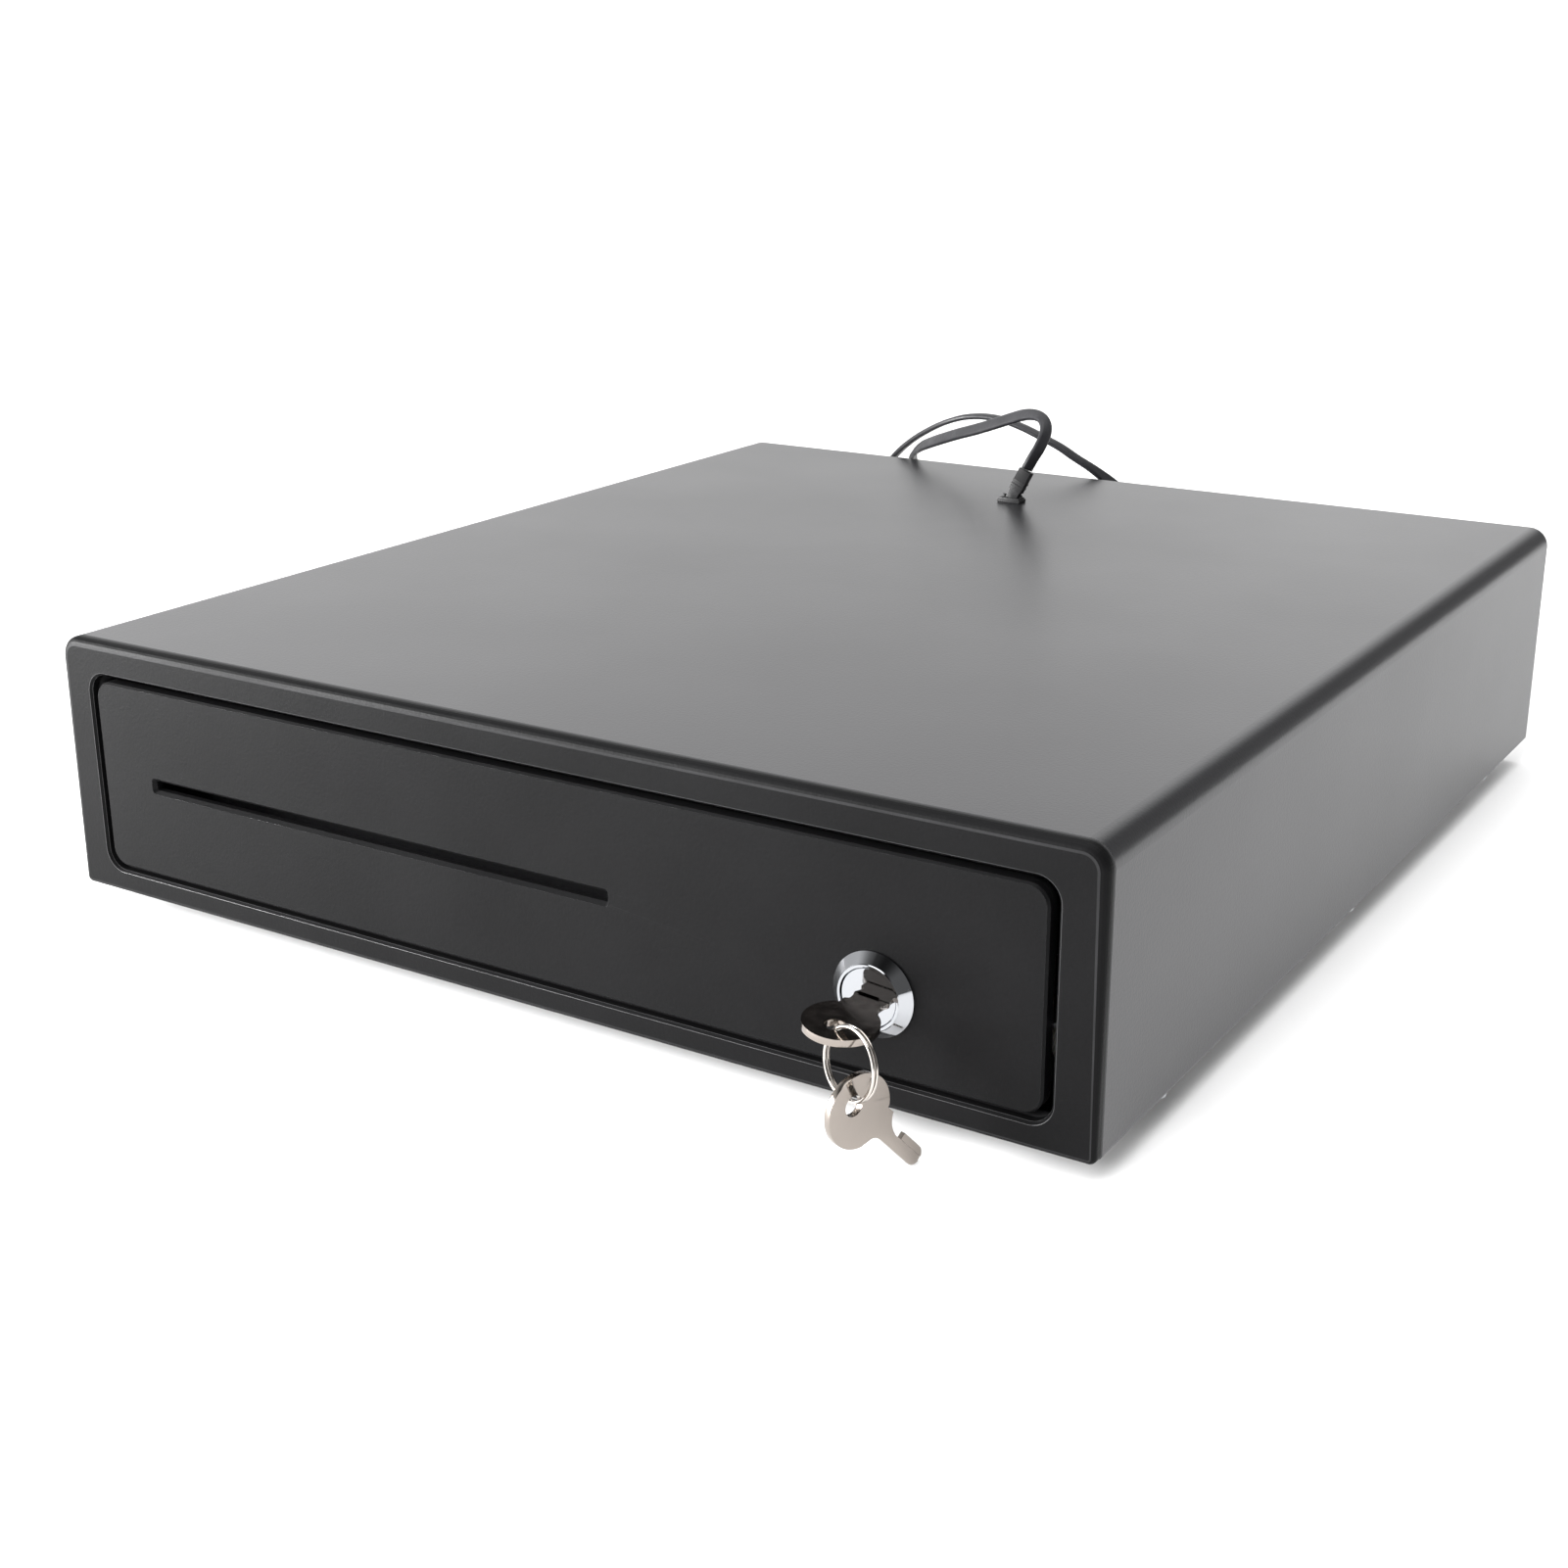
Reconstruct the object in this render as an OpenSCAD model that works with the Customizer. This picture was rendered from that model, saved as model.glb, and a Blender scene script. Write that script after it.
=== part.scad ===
// Compact point-of-sale cash drawer: case, drawer on rollers, till, lock, latch and signal lead.
// X right, Y from the front to the back, Z up. The origin is at the middle of the footprint, on
// the surface that it stands on. Lengths are in millimetres and angles in degrees.

// Which piece to draw

/* [Case] */
// Outside width of the case
case_w = 335; // [325:1:400]
// Outside depth of the case, from the front frame to the back
case_d = 370; // [365:1:420]
// Height of the case, without its feet
case_h = 77.7; // [76:0.1:96]
// Thickness of the steel skin
skin_t = 1; // [0.8:0.1:1.2]
// Outside radius of the bends along the top edges
bend_r = 6.5; // [4:0.5:9]
// Height of the rubber feet
foot_h = 8.3; // [7:0.1:12]
// Diameter of the rubber feet
foot_d = 20; // [16:1:24]

/* [Front] */
// Width of the frame's side bars
frame_side = 11.3; // [10.5:0.1:12]
// Height of the frame's bottom bar
frame_bottom = 7; // [6.5:0.1:8]
// Height of the frame's top bar
frame_top = 10; // [9:0.1:12]
// Gap between the frame and the drawer front at the sides
gap_side = 2.3; // [1.5:0.1:3]
// Gap between the frame and the drawer front above and below
gap_level = 1.7; // [1.4:0.1:2.2]
// Length of the note slot
slot_l = 163.5; // [120:0.5:170]
// Height of the note slot
slot_h = 2.9; // [2:0.1:4]

/* [Lock and keys] */
// Distance from the middle of the lock to the drawer front's right edge
lock_in = 44.6; // [38:0.1:50]
// Height of the lock above the drawer front's lower edge
lock_up = 20.6; // [19.5:0.1:22]
// Diameter of the lock's outer ring
lock_ring_d = 22; // [21:0.2:25]
// Diameter of the plug's face
plug_face_d = 15.2; // [14:0.1:16]
// Diameter of the key's bow
bow_d = 18.5; // [18:0.5:20]
// Thickness of the keys
key_t = 1.8; // [1.6:0.1:2]
// Mean radius of the split ring
ring_r = 8.7; // [8.6:0.1:8.9]

/* [Drawer] */
// How much of the case's depth the drawer keeps inside when it is open
kept_in = 110; // [105:5:150]
// Height of the drawer box's sides
box_h = 48; // [46:1:50]
// Number of note bays
bays = 4; // [3:1:5]
// Number of coin cups
cups = 5; // [4:1:6]
// Width of the note clips
clip_w = 22; // [18:1:28]
// How far a note clip reaches forward from its rod
clip_reach = 56; // [48:1:64]
// Radius of the rollers
roller_r = 7; // [6.6:0.1:7]

/* [Lead] */
// Width of the flat lead
lead_w = 4.6; // [4:0.1:5]
// Thickness of the flat lead
lead_t = 2.2; // [1.8:0.1:2.4]

/* [Hidden] */
zb = foot_h;
zt = foot_h + case_h;
yf = -case_d / 2;
yr = case_d / 2;
travel = case_d - kept_in;
skin_front = yf + 4;
open_x = case_w / 2 - frame_side;
open_z0 = zb + frame_bottom;
open_z1 = zt - frame_top;
panel_x = open_x - gap_side;
panel_z0 = open_z0 + gap_level;
panel_z1 = open_z1 - gap_level - 0.1;
panel_y = yf + 3;
slot_x0 = -panel_x + 20.9;
slot_z0 = panel_z0 + 26.7;
slot_corner = 0.4;
lock_x = panel_x - lock_in;
lock_z = panel_z0 + lock_up;
base_z = zb + skin_t;
plate_t = 1;
base_top = base_z + plate_t;
inner_x = case_w / 2 - skin_t;
foot_x = case_w / 2 - 27.5;
foot_y = case_d / 2 - 35;
screw_x = case_w / 2 - 4.5;
// slides
web_x = open_x + 2.1;
web_t = 1.2;
track_z = base_top + 11.4;
axle_z = track_z + web_t + 0.1 + roller_r;
runner_z = axle_z + roller_r + 0.1;
lip_z = runner_z + 2.4;
roller_x = open_x - 7;
roller_w = 5;
front_roller_y = yf + 20;
rear_roller_y = yr - 45;
rail_y0 = yf + 15;
rail_y1 = yr - 13;
axle_r = 2;
run_fit = 0.05;
// drawer box
box_x = open_x - 9.2;
box_z0 = base_top + 7.7;
box_z1 = box_z0 + box_h;
box_back = yr - 40;
box_t = 1;
floor_z = box_z0 + box_t;
front_screw_xs = [-box_x + 14.5, -40, 40];
// till
till_x = box_x - box_t - 0.7;
till_z0 = floor_z + 0.1;
till_floor = box_z0 + 10;
till_z1 = box_z1 + 2;
coin_y0 = yf + 28;
coin_d = 80;
coin_y1 = coin_y0 + coin_d;
note_y0 = coin_y1 + 1.5;
note_y1 = box_back - box_t - 1;
wall_t = 2;
clip_y = note_y1 - 13;
clip_z = till_z1 - 6;
bay_w = (2 * till_x - (bays + 1) * wall_t) / bays;
cup_w = (2 * till_x - (cups + 1) * wall_t) / cups;
// keys
key_turned = 5.1;
key_droop = 2;
bow_off = 0.9;
bow_reach = 16.65;
hole_off = 2.6;
hole_r = 2.6;
step_y = 7.3;
blade_t = key_t - 0.5;
ring_turned = 20.2;
ring_lean = 6;
ring_c = [lock_x + 7.25, yf - 23, lock_z - 6.74];
spare_turned = 17.5;
spare_down = 46.9;
spare_c = [lock_x + 10.02, yf - 24.47, lock_z - 17.0];
// cam
cam_l = lock_z - base_top - 7.5;
cam_swing = sqrt(pow(cam_l + 4.2, 2) - pow(lock_z - floor_z, 2)) + 1.5;
// latch
pin_x = box_x - 59;
pin_y = yr - 9;
lever_z = base_top + 13.7;
lever_rest = -16;
sol_x0 = pin_x - 48;
sol_y = yr - 23;
sol_z = base_top + 11.2;
// ejector and switch
eject_x = -box_x + 77;
eject_z = base_top + 25.7;
sw_x = -box_x + 117;
// lead
exit_x = 5;
exit_z = base_top + 33.7;
exit_y = yr + 12;
coil_c = [-112, yr + 44, 0];
coil_r = 25.5;

// ---------- shared shapes ----------

// A block between two corners
module block(a, b) {
  translate(a) cube(b - a);
}

// A flat outline in X and Z, made solid from y0 to y1
module along_y(y0, y1) {
  translate([0, y1, 0]) rotate([90, 0, 0]) linear_extrude(y1 - y0) children();
}

// A flat outline in Y and Z, made solid from x0 to x1
module along_x(x0, x1) {
  translate([x0, 0, 0]) rotate([90, 0, 90]) linear_extrude(x1 - x0) children();
}

// A round bar along Y
module bar_y(x, z, y0, y1, r) {
  translate([x, y1, z]) rotate([90, 0, 0]) cylinder(h = y1 - y0, r = r, $fn = 64);
}

// A round bar along X
module bar_x(y, z, x0, x1, r) {
  translate([x0, y, z]) rotate([0, 90, 0]) cylinder(h = x1 - x0, r = r, $fn = 64);
}

// A rectangle between two corners with round corners
module round_rect(x0, x1, z0, z1, r) {
  translate([x0 + r, z0]) square([x1 - x0 - 2 * r, z1 - z0]);
  translate([x0, z0 + r]) square([x1 - x0, z1 - z0 - 2 * r]);
  for (x = [x0 + r, x1 - r]) for (z = [z0 + r, z1 - r]) translate([x, z]) circle(r = r, $fn = 64);
}

// The case's outline, seen from the front, drawn in by a margin
module case_outline(m, low_r) {
  w = case_w / 2 - m;
  r = bend_r - m;
  translate([-w, zb + m + low_r]) square([2 * w, case_h - 2 * m - r - low_r]);
  translate([-w + r, zt - m - r - 1]) square([2 * (w - r), r + 1]);
  translate([-w + low_r, zb + m]) square([2 * (w - low_r), low_r + 1]);
  for (s = [-1, 1]) {
    translate([s * (w - r), zt - m - r]) circle(r = r, $fn = 96);
    translate([s * (w - low_r), zb + m + low_r]) circle(r = low_r, $fn = 48);
  }
}

// Copies a right-hand piece to the left
module both_sides() {
  children();
  mirror([1, 0, 0]) children();
}

// A screw pointing up, its head below the given height
module screw_up(x, y, z, len, r, head_r, head_h) {
  translate([x, y, z]) cylinder(h = len, r = r, $fn = 32);
  difference() {
    translate([x, y, z - head_h]) cylinder(h = head_h, r = head_r, $fn = 32);
    translate([x, y, z - head_h - 0.1]) cylinder(h = 1, r = head_r * 0.45, $fn = 6);
  }
}

function unit(v) = v / norm(v);
function heading(p, i) = unit(p[min(i + 1, len(p) - 1)] - p[max(i - 1, 0)]);
function level(v, t) = unit(v - (v * t) * t);
// The lead's wide direction at each point, carried along without twist
function carried(p, w0) = [
  for (i = 0, w = level(w0, heading(p, 0)); i < len(p);
       i = i + 1, w = i < len(p) ? level(w, heading(p, i)) : w) w
];

// A flat lead that follows a list of points
module flat_lead(p, w0, wide, thin, sides) {
  ws = carried(p, w0);
  n = len(p);
  pts = [
    for (i = [0 : n - 1]) let(t = heading(p, i), u = ws[i], v = cross(t, u))
      for (k = [0 : sides - 1]) let(a = 360 * k / sides)
        p[i] + u * (wide / 2 * cos(a)) + v * (thin / 2 * sin(a))
  ];
  sidewalls = [
    for (i = [0 : n - 2]) for (k = [0 : sides - 1]) let(j = (k + 1) % sides)
      [i * sides + k, (i + 1) * sides + k, (i + 1) * sides + j, i * sides + j]
  ];
  ends = [[for (k = [0 : sides - 1]) k], [for (k = [sides - 1 : -1 : 0]) (n - 1) * sides + k]];
  polyhedron(points = pts, faces = concat(sidewalls, ends), convexity = 10);
}

// ---------- case ----------

// The folded steel skin: top, sides and a narrow flange turned in under each side
module case_shell() {
  color([0.33, 0.33, 0.35])
  difference() {
    along_y(skin_front, yr)
    difference() {
      case_outline(0, 1.5);
      case_outline(skin_t, 0.5);
      translate([-(case_w / 2 - 14), zb - 1]) square([case_w - 28, skin_t + 2]);
    }
    for (s = [-1, 1]) for (y = [-foot_y + 10, 0, foot_y - 10])
      translate([s * screw_x, y, zb - 1]) cylinder(h = skin_t + 2, r = 1.7, $fn = 32);
    for (s = [-1, 1]) for (y = [-foot_y, foot_y])
      translate([s * foot_x, y, zb - 1]) cylinder(h = skin_t + 2, r = foot_d / 2 + 0.4, $fn = 64);
  }
}

// The bottom of the case, drilled for the feet and for screws through them into a counter
module base_plate() {
  color([0.2, 0.2, 0.21])
  difference() {
    block([-inner_x + 0.5, yf + 7, base_z], [inner_x - 0.5, yr - 1.1, base_top]);
    for (s = [-1, 1]) for (y = [-foot_y, foot_y])
      translate([s * foot_x, y, base_z - 1]) cylinder(h = plate_t + 2, r = 4.6, $fn = 48);
    for (s = [-1, 1]) for (y = [-foot_y + 10, 0, foot_y - 10])
      translate([s * screw_x, y, base_z - 1]) cylinder(h = plate_t + 2, r = 1.7, $fn = 32);
    translate([pin_x - 20, pin_y - 9, base_z - 1]) cube([8, 14, plate_t + 2]);
  }
}

// The back of the case, with edges turned forward along the top and sides
module rear_panel() {
  color([0.2, 0.2, 0.21])
  difference() {
    union() {
      along_y(yr - 1, yr) difference() {
        case_outline(skin_t + 0.1, 0.5);
        translate([-case_w, zb - 1]) square([2 * case_w, skin_t + 1.1]);
      }
      block([-inner_x + 8, yr - 11, zt - skin_t - 1.1], [inner_x - 8, yr - 1, zt - skin_t - 0.1]);
      for (s = [0, 1]) mirror([s, 0, 0])
        block([inner_x - 1.1, yr - 11, base_top + 1.5], [inner_x - 0.1, yr - 1, zt - skin_t - 8]);
    }
    bar_y(exit_x, exit_z, yr - 3, yr + 1, 6.05);
  }
}

// A round puck with an eased front rim, for a corner of the frame
module corner_puck(x, z, r, ease) {
  translate([x, skin_front, z]) rotate([90, 0, 0])
  rotate_extrude($fn = 48)
  union() {
    square([r - ease, 4]);
    square([r, 4 - ease]);
    translate([r - ease, 4 - ease]) intersection() {
      circle(r = ease, $fn = 24);
      square(ease + 1);
    }
  }
}

// The plastic frame round the drawer front, with a lip that plugs into the steel skin
module front_frame() {
  w = case_w / 2;
  color([0.27, 0.27, 0.28])
  difference() {
    union() {
      hull() {
        for (s = [-1, 1]) {
          corner_puck(s * (w - bend_r), zt - bend_r, bend_r, 2.6);
          corner_puck(s * (w - 1.9), zb + 1.9, 1.9, 1.4);
        }
      }
      along_y(skin_front - 0.1, yf + 13) difference() {
        case_outline(skin_t + 0.1, 0.5);
        translate([-case_w, zb - 1]) square([2 * case_w, frame_bottom + 2]);
      }
      block([-inner_x + 1, skin_front - 0.1, base_z + 0.1], [inner_x - 1, yf + 6.8, open_z0]);
    }
    along_y(yf - 1, yf + 20) round_rect(-open_x, open_x, open_z0, open_z1, 6);
    hull() {
      along_y(yf - 0.1, yf) round_rect(-open_x - 0.7, open_x + 0.7, open_z0 - 0.7, open_z1 + 0.7, 6.7);
      along_y(yf + 0.7, yf + 0.8) round_rect(-open_x, open_x, open_z0, open_z1, 6);
    }
  }
}

// Four push-in rubber feet, each with a hole up through it for a screw into the counter
module feet() {
  color([0.06, 0.06, 0.06])
  for (sx = [-1, 1]) for (sy = [-1, 1])
    translate([sx * foot_x, sy * foot_y, 0]) rotate_extrude($fn = 72)
    polygon([
      [2.25, 0], [foot_d / 2 - 1.5, 0], [foot_d / 2 - 1, 0.5], [foot_d / 2, base_z - 0.6],
      [foot_d / 2, base_z - 0.1], [4.5, base_z - 0.1], [4.5, base_top + 0.2], [5.4, base_top + 0.2],
      [4.4, base_top + 2.4], [2.25, base_top + 2.4]
    ]);
}

// Six screws up through the skin's flanges, the base plate and the feet of the rails
module case_screws() {
  color([0.35, 0.35, 0.36])
  for (s = [-1, 1]) for (y = [-foot_y + 10, 0, foot_y - 10])
    screw_up(s * screw_x, y, zb - 0.1, 6, 1.5, 2.8, 1.9);
}

// The upright on the base plate that the turned cam catches behind
module lock_keeper() {
  color([0.6, 0.6, 0.62])
  difference() {
    union() {
      block([lock_x - 12, yf + 8, base_top], [lock_x + 12, yf + 17, base_top + 1.5]);
      block([lock_x - 12, yf + 15, base_top], [lock_x + 12, yf + 17, box_z0 - 1]);
    }
    for (s = [-1, 1]) translate([lock_x + s * 8, yf + 11.5, base_top - 1]) cylinder(h = 4, r = 1.6, $fn = 24);
  }
}

// ---------- slides ----------

// One fixed rail: foot, web, track for the drawer's roller, and a lip over the runner
module rail() {
  color([0.62, 0.63, 0.65])
  difference() {
    union() {
      block([web_x, rail_y0, base_top], [web_x + web_t, rail_y1, lip_z + web_t]);
      block([web_x, rail_y0, base_top], [inner_x - 0.6, rail_y1, base_top + 1]);
      block([roller_x - 0.2, rail_y0 + 14, track_z], [web_x + 0.5, rail_y1, track_z + web_t]);
      block([roller_x + 0.8, rail_y0, lip_z], [web_x + 0.5, rail_y1, lip_z + web_t]);
      block([roller_x, yf + travel_stop(), track_z], [web_x + 0.5, yf + travel_stop() + 2.5, axle_z]);
    }
    for (y = [-foot_y + 10, 0, foot_y - 10])
      translate([screw_x, y, base_top - 1]) cylinder(h = 3, r = 1.7, $fn = 32);
  }
}

// How far behind the front face the rail's stop stands
function travel_stop() = rear_roller_y - travel - roller_r - 4 - yf;

module rail_right() { rail(); }
module rail_left() { mirror([1, 0, 0]) rail(); }

// The two studs on the rails that the front rollers turn on
module case_axles() {
  color([0.7, 0.7, 0.72])
  both_sides() {
    bar_x(front_roller_y, axle_z, roller_x - 0.3, web_x, axle_r);
    bar_x(front_roller_y, axle_z, roller_x + roller_w + 0.2, web_x, 3.5);
    bar_x(front_roller_y, axle_z, roller_x - 1.1, roller_x - 0.2, 3.2);
  }
}

// The two studs on the drawer's sides that the back rollers turn on
module drawer_axles() {
  color([0.7, 0.7, 0.72])
  both_sides() {
    bar_x(rear_roller_y, axle_z, box_x, roller_x + roller_w + 0.4, axle_r);
    bar_x(rear_roller_y, axle_z, box_x, roller_x - 0.2, 3.5);
    bar_x(rear_roller_y, axle_z, roller_x + roller_w + 0.2, roller_x + roller_w + 1, 3.2);
  }
}

// One nylon roller with eased rims
module roller(y) {
  color([0.88, 0.88, 0.85])
  translate([roller_x, y, axle_z]) rotate([0, 90, 0]) rotate_extrude($fn = 72)
  polygon([
    [axle_r + run_fit, 0], [roller_r - 0.6, 0], [roller_r, 0.6], [roller_r, roller_w - 0.6],
    [roller_r - 0.6, roller_w], [axle_r + run_fit, roller_w]
  ]);
}

module case_roller_right() { roller(front_roller_y); }
module case_roller_left() { mirror([1, 0, 0]) roller(front_roller_y); }
module drawer_roller_right() { roller(rear_roller_y); }
module drawer_roller_left() { mirror([1, 0, 0]) roller(rear_roller_y); }

// The angles on the drawer's sides that ride over the front rollers
module drawer_runners() {
  color([0.62, 0.63, 0.65])
  both_sides() {
    block([box_x, yf + 7, runner_z], [open_x - 0.7, box_back - 2, runner_z + web_t]);
    block([box_x, yf + 7, runner_z], [box_x + 1.2, box_back - 2, runner_z + 13]);
  }
}

// ---------- drawer ----------

// The smooth front, with a long slot for notes and a hole for the lock
module drawer_front() {
  color([0.29, 0.29, 0.30])
  difference() {
    union() {
      hull() {
        along_y(yf, yf + 0.1) round_rect(-panel_x + 0.6, panel_x - 0.6, panel_z0 + 0.6, panel_z1 - 0.6, 4.9);
        along_y(yf + 0.6, panel_y) round_rect(-panel_x, panel_x, panel_z0, panel_z1, 5.5);
      }
      along_y(panel_y - 0.5, panel_y + 1.2) difference() {
        round_rect(-panel_x, panel_x, panel_z0, panel_z1, 5.5);
        round_rect(-panel_x + 1.8, panel_x - 1.8, panel_z0 + 0.8, panel_z1 - 1.8, 4.2);
      }
    }
    along_y(yf - 1, panel_y + 2)
      round_rect(slot_x0, slot_x0 + slot_l, slot_z0, slot_z0 + slot_h, slot_corner);
    hull() {
      along_y(yf - 0.1, yf)
        round_rect(slot_x0 - 1, slot_x0 + slot_l + 1, slot_z0 - 1, slot_z0 + slot_h + 1, slot_corner + 0.9);
      along_y(yf + 1, yf + 1.1) round_rect(slot_x0, slot_x0 + slot_l, slot_z0, slot_z0 + slot_h, slot_corner);
    }
    bar_y(lock_x, lock_z, yf - 1, panel_y + 2, 9.7);
  }
}

// The folded steel box of the drawer
module drawer_box() {
  color([0.24, 0.24, 0.25])
  difference() {
    block([-box_x, panel_y, box_z0], [box_x, box_back, box_z1]);
    block([-box_x + box_t, panel_y + box_t, floor_z], [box_x - box_t, box_back - box_t, box_z1 + 1]);
    along_y(panel_y - 1, panel_y + 2)
      round_rect(slot_x0 - 2, slot_x0 + slot_l + 2, slot_z0 - 2.3, slot_z0 + slot_h + 2.3, 2);
    bar_y(lock_x, lock_z, panel_y - 1, panel_y + 2, 9.7);
    translate([lock_x - 8.5, yf + 18, box_z0 - 1]) cube([8.5 + cam_swing, 7.5, 3]);
    for (x = front_screw_xs)
      bar_y(x, box_z0 + 8, panel_y - 1, panel_y + 2, 1.7);
  }
}

// Screws from inside the box that hold the front on
module front_screws() {
  color([0.6, 0.6, 0.62])
  for (x = front_screw_xs) {
    bar_y(x, box_z0 + 8, panel_y + 0.2, panel_y + box_t + 0.3, 1.5);
    bar_y(x, box_z0 + 8, panel_y + box_t + 0.1, panel_y + box_t + 2, 2.9);
  }
}

// The curved guide behind the slot that turns a note down and under the till
module note_chute() {
  y0 = panel_y + box_t + 0.2;
  color([0.1, 0.1, 0.1]) {
    along_x(slot_x0 - 4, slot_x0 + slot_l + 4) translate([y0, till_floor + 1]) intersection() {
      difference() {
        circle(r = 22.6, $fn = 96);
        circle(r = 21.2, $fn = 96);
      }
      square(30);
    }
    for (x = [slot_x0 - 5.2, slot_x0 + slot_l + 4])
      along_x(x, x + 1.2) union() {
        translate([y0, till_floor + 1]) intersection() {
          circle(r = 22.6, $fn = 96);
          square(30);
        }
        translate([y0, floor_z + 0.1]) square([22, till_floor + 1.5 - floor_z]);
      }
  }
}

// The note tray: a row of long bays over a flat floor
module note_tray() {
  color([0.13, 0.13, 0.14])
  difference() {
    block([-till_x, note_y0, till_floor], [till_x, note_y1, till_z1]);
    for (i = [0 : bays - 1]) let(x = -till_x + wall_t + i * (bay_w + wall_t))
      block([x, note_y0 + wall_t, till_floor + wall_t], [x + bay_w, note_y1 - wall_t, till_z1 + 1]);
    for (i = [0 : bays - 1]) let(x = -till_x + wall_t + (i + 0.5) * (bay_w + wall_t) - wall_t / 2)
      bar_y(x, till_z1 + 4, note_y0 - 1, note_y0 + wall_t + 1, 14);
    bar_x(clip_y, clip_z, -till_x + 0.8, till_x - 0.8, axle_r + run_fit);
  }
}

// The strips along both sides that hold the note tray up off the drawer's floor
module tray_strips() {
  color([0.13, 0.13, 0.14])
  both_sides() block([till_x - wall_t, note_y0, till_z0], [till_x, note_y1, till_floor]);
}

// The coin tray: round-bottomed cups in a row, thin-walled below
module coin_tray() {
  r_in = coin_d / 2 - wall_t;
  cz = till_floor + wall_t + r_in;
  cy = coin_y0 + coin_d / 2;
  color([0.13, 0.13, 0.14])
  difference() {
    union() {
      bar_x(cy, cz, -till_x, till_x, r_in + wall_t);
      block([-till_x, coin_y0, cz - 3], [till_x, coin_y1, till_z1]);
      for (s = [0, 1]) mirror([s, 0, 0])
        block([till_x - wall_t, coin_y0 + 4, till_z0], [till_x, coin_y1 - 4, till_z1]);
    }
    block([-till_x - 1, coin_y0 - 1, till_z1], [till_x + 1, coin_y1 + 1, till_z1 + 60]);
    for (i = [0 : cups - 1]) let(x = -till_x + wall_t + i * (cup_w + wall_t)) {
      bar_x(cy, cz, x, x + cup_w, r_in);
      block([x, cy - r_in, cz], [x + cup_w, cy + r_in, till_z1 + 1]);
    }
  }
}

// One sprung arm that holds notes down in its bay
module note_clip(i) {
  x = -till_x + wall_t + (i + 0.5) * (bay_w + wall_t) - wall_t / 2;
  w = clip_w / 2;
  drop = clip_z - (till_floor + wall_t) - 3.2;
  run = sqrt(clip_reach * clip_reach + drop * drop);
  color([0.16, 0.16, 0.17])
  difference() {
    union() {
      bar_x(clip_y, clip_z, x - w, x + w, 4.5);
      along_x(x - w, x + w) translate([clip_y, clip_z]) rotate(180 + atan2(drop, clip_reach))
        translate([2, -1.2]) square([run - 2, 2.4]);
      along_x(x - w, x + w) translate([clip_y - clip_reach - w, clip_z - drop - 1.2]) square([w + 1, 2.4]);
      along_x(x - w, x + w) translate([clip_y - clip_reach - w, clip_z - drop]) circle(r = 1.2, $fn = 32);
      along_x(x - w, x + w) translate([clip_y - clip_reach, clip_z - drop]) circle(r = 1.2, $fn = 32);
    }
    bar_x(clip_y, clip_z, x - w - 1, x + w + 1, axle_r + run_fit);
  }
}

module note_clip_1() { note_clip(0); }
module note_clip_2() { note_clip(1); }
module note_clip_3() { note_clip(2); }
module note_clip_4() { note_clip(bays - 1); }

// The rod that all the clips turn on
module clip_axle() {
  color([0.7, 0.7, 0.72]) bar_x(clip_y, clip_z, -till_x + 1, till_x - 1, axle_r);
}

// A short coiled spring beside each clip
module clip_springs() {
  color([0.65, 0.66, 0.68])
  for (i = [0 : bays - 1]) let(x = -till_x + wall_t + (i + 0.5) * (bay_w + wall_t) - wall_t / 2)
    translate([x + clip_w / 2 + 0.4, clip_y, clip_z]) rotate([0, 90, 0]) rotate_extrude($fn = 48) {
      for (k = [0 : 7]) translate([3.1, 0.5 + k * 0.9]) circle(r = 0.5, $fn = 16);
    }
}

// ---------- lock and keys ----------

// The lock's body: a sloping ring with a low lip in front, a barrel with two flats behind
module lock_housing() {
  r = plug_face_d / 2;
  color([0.8, 0.8, 0.82])
  difference() {
    union() {
      translate([lock_x, yf, lock_z]) rotate([90, 0, 0])
        cylinder(h = 0.5, r = lock_ring_d / 2, $fn = 96);
      translate([lock_x, yf - 0.5, lock_z]) rotate([90, 0, 0]) rotate_extrude($fn = 96)
        polygon([[0, 0], [lock_ring_d / 2, 0], [r + 0.95, 2.25], [r + 0.75, 2.5], [r + 0.3, 2.5], [0, 2.2]]);
      intersection() {
        bar_y(lock_x, lock_z, yf, yf + 19, 9.5);
        block([lock_x - 10, yf - 1, lock_z - 8.2], [lock_x + 10, yf + 20, lock_z + 8.2]);
      }
    }
    bar_y(lock_x, lock_z, yf - 4, yf + 20, 6.05);
    bar_y(lock_x, lock_z, yf - 4, yf - 1.1, r + 0.12);
  }
}

// The turning plug: face, barrel and square tail, with the keyway cut through
module lock_plug() {
  r = plug_face_d / 2;
  color([0.75, 0.75, 0.77])
  difference() {
    union() {
      bar_y(lock_x, lock_z, yf - 2.3, yf - 1.2, r);
      translate([lock_x, yf - 2.3, lock_z]) rotate([90, 0, 0])
        cylinder(h = 0.25, r1 = r, r2 = r - 0.3, $fn = 96);
      bar_y(lock_x, lock_z, yf - 1.5, yf + 20, 6);
      block([lock_x - 3, yf + 19.5, lock_z - 3], [lock_x + 3, yf + 22.4, lock_z + 3]);
    }
    translate([lock_x, 0, lock_z]) rotate([0, key_turned, 0])
      block([-2.85, yf - 4, -blade_t / 2 - 0.3], [2.85, yf + 17, blade_t / 2 + 0.3]);
    bar_y(lock_x, lock_z, yf + 18, yf + 23, 1.55);
  }
}

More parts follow.
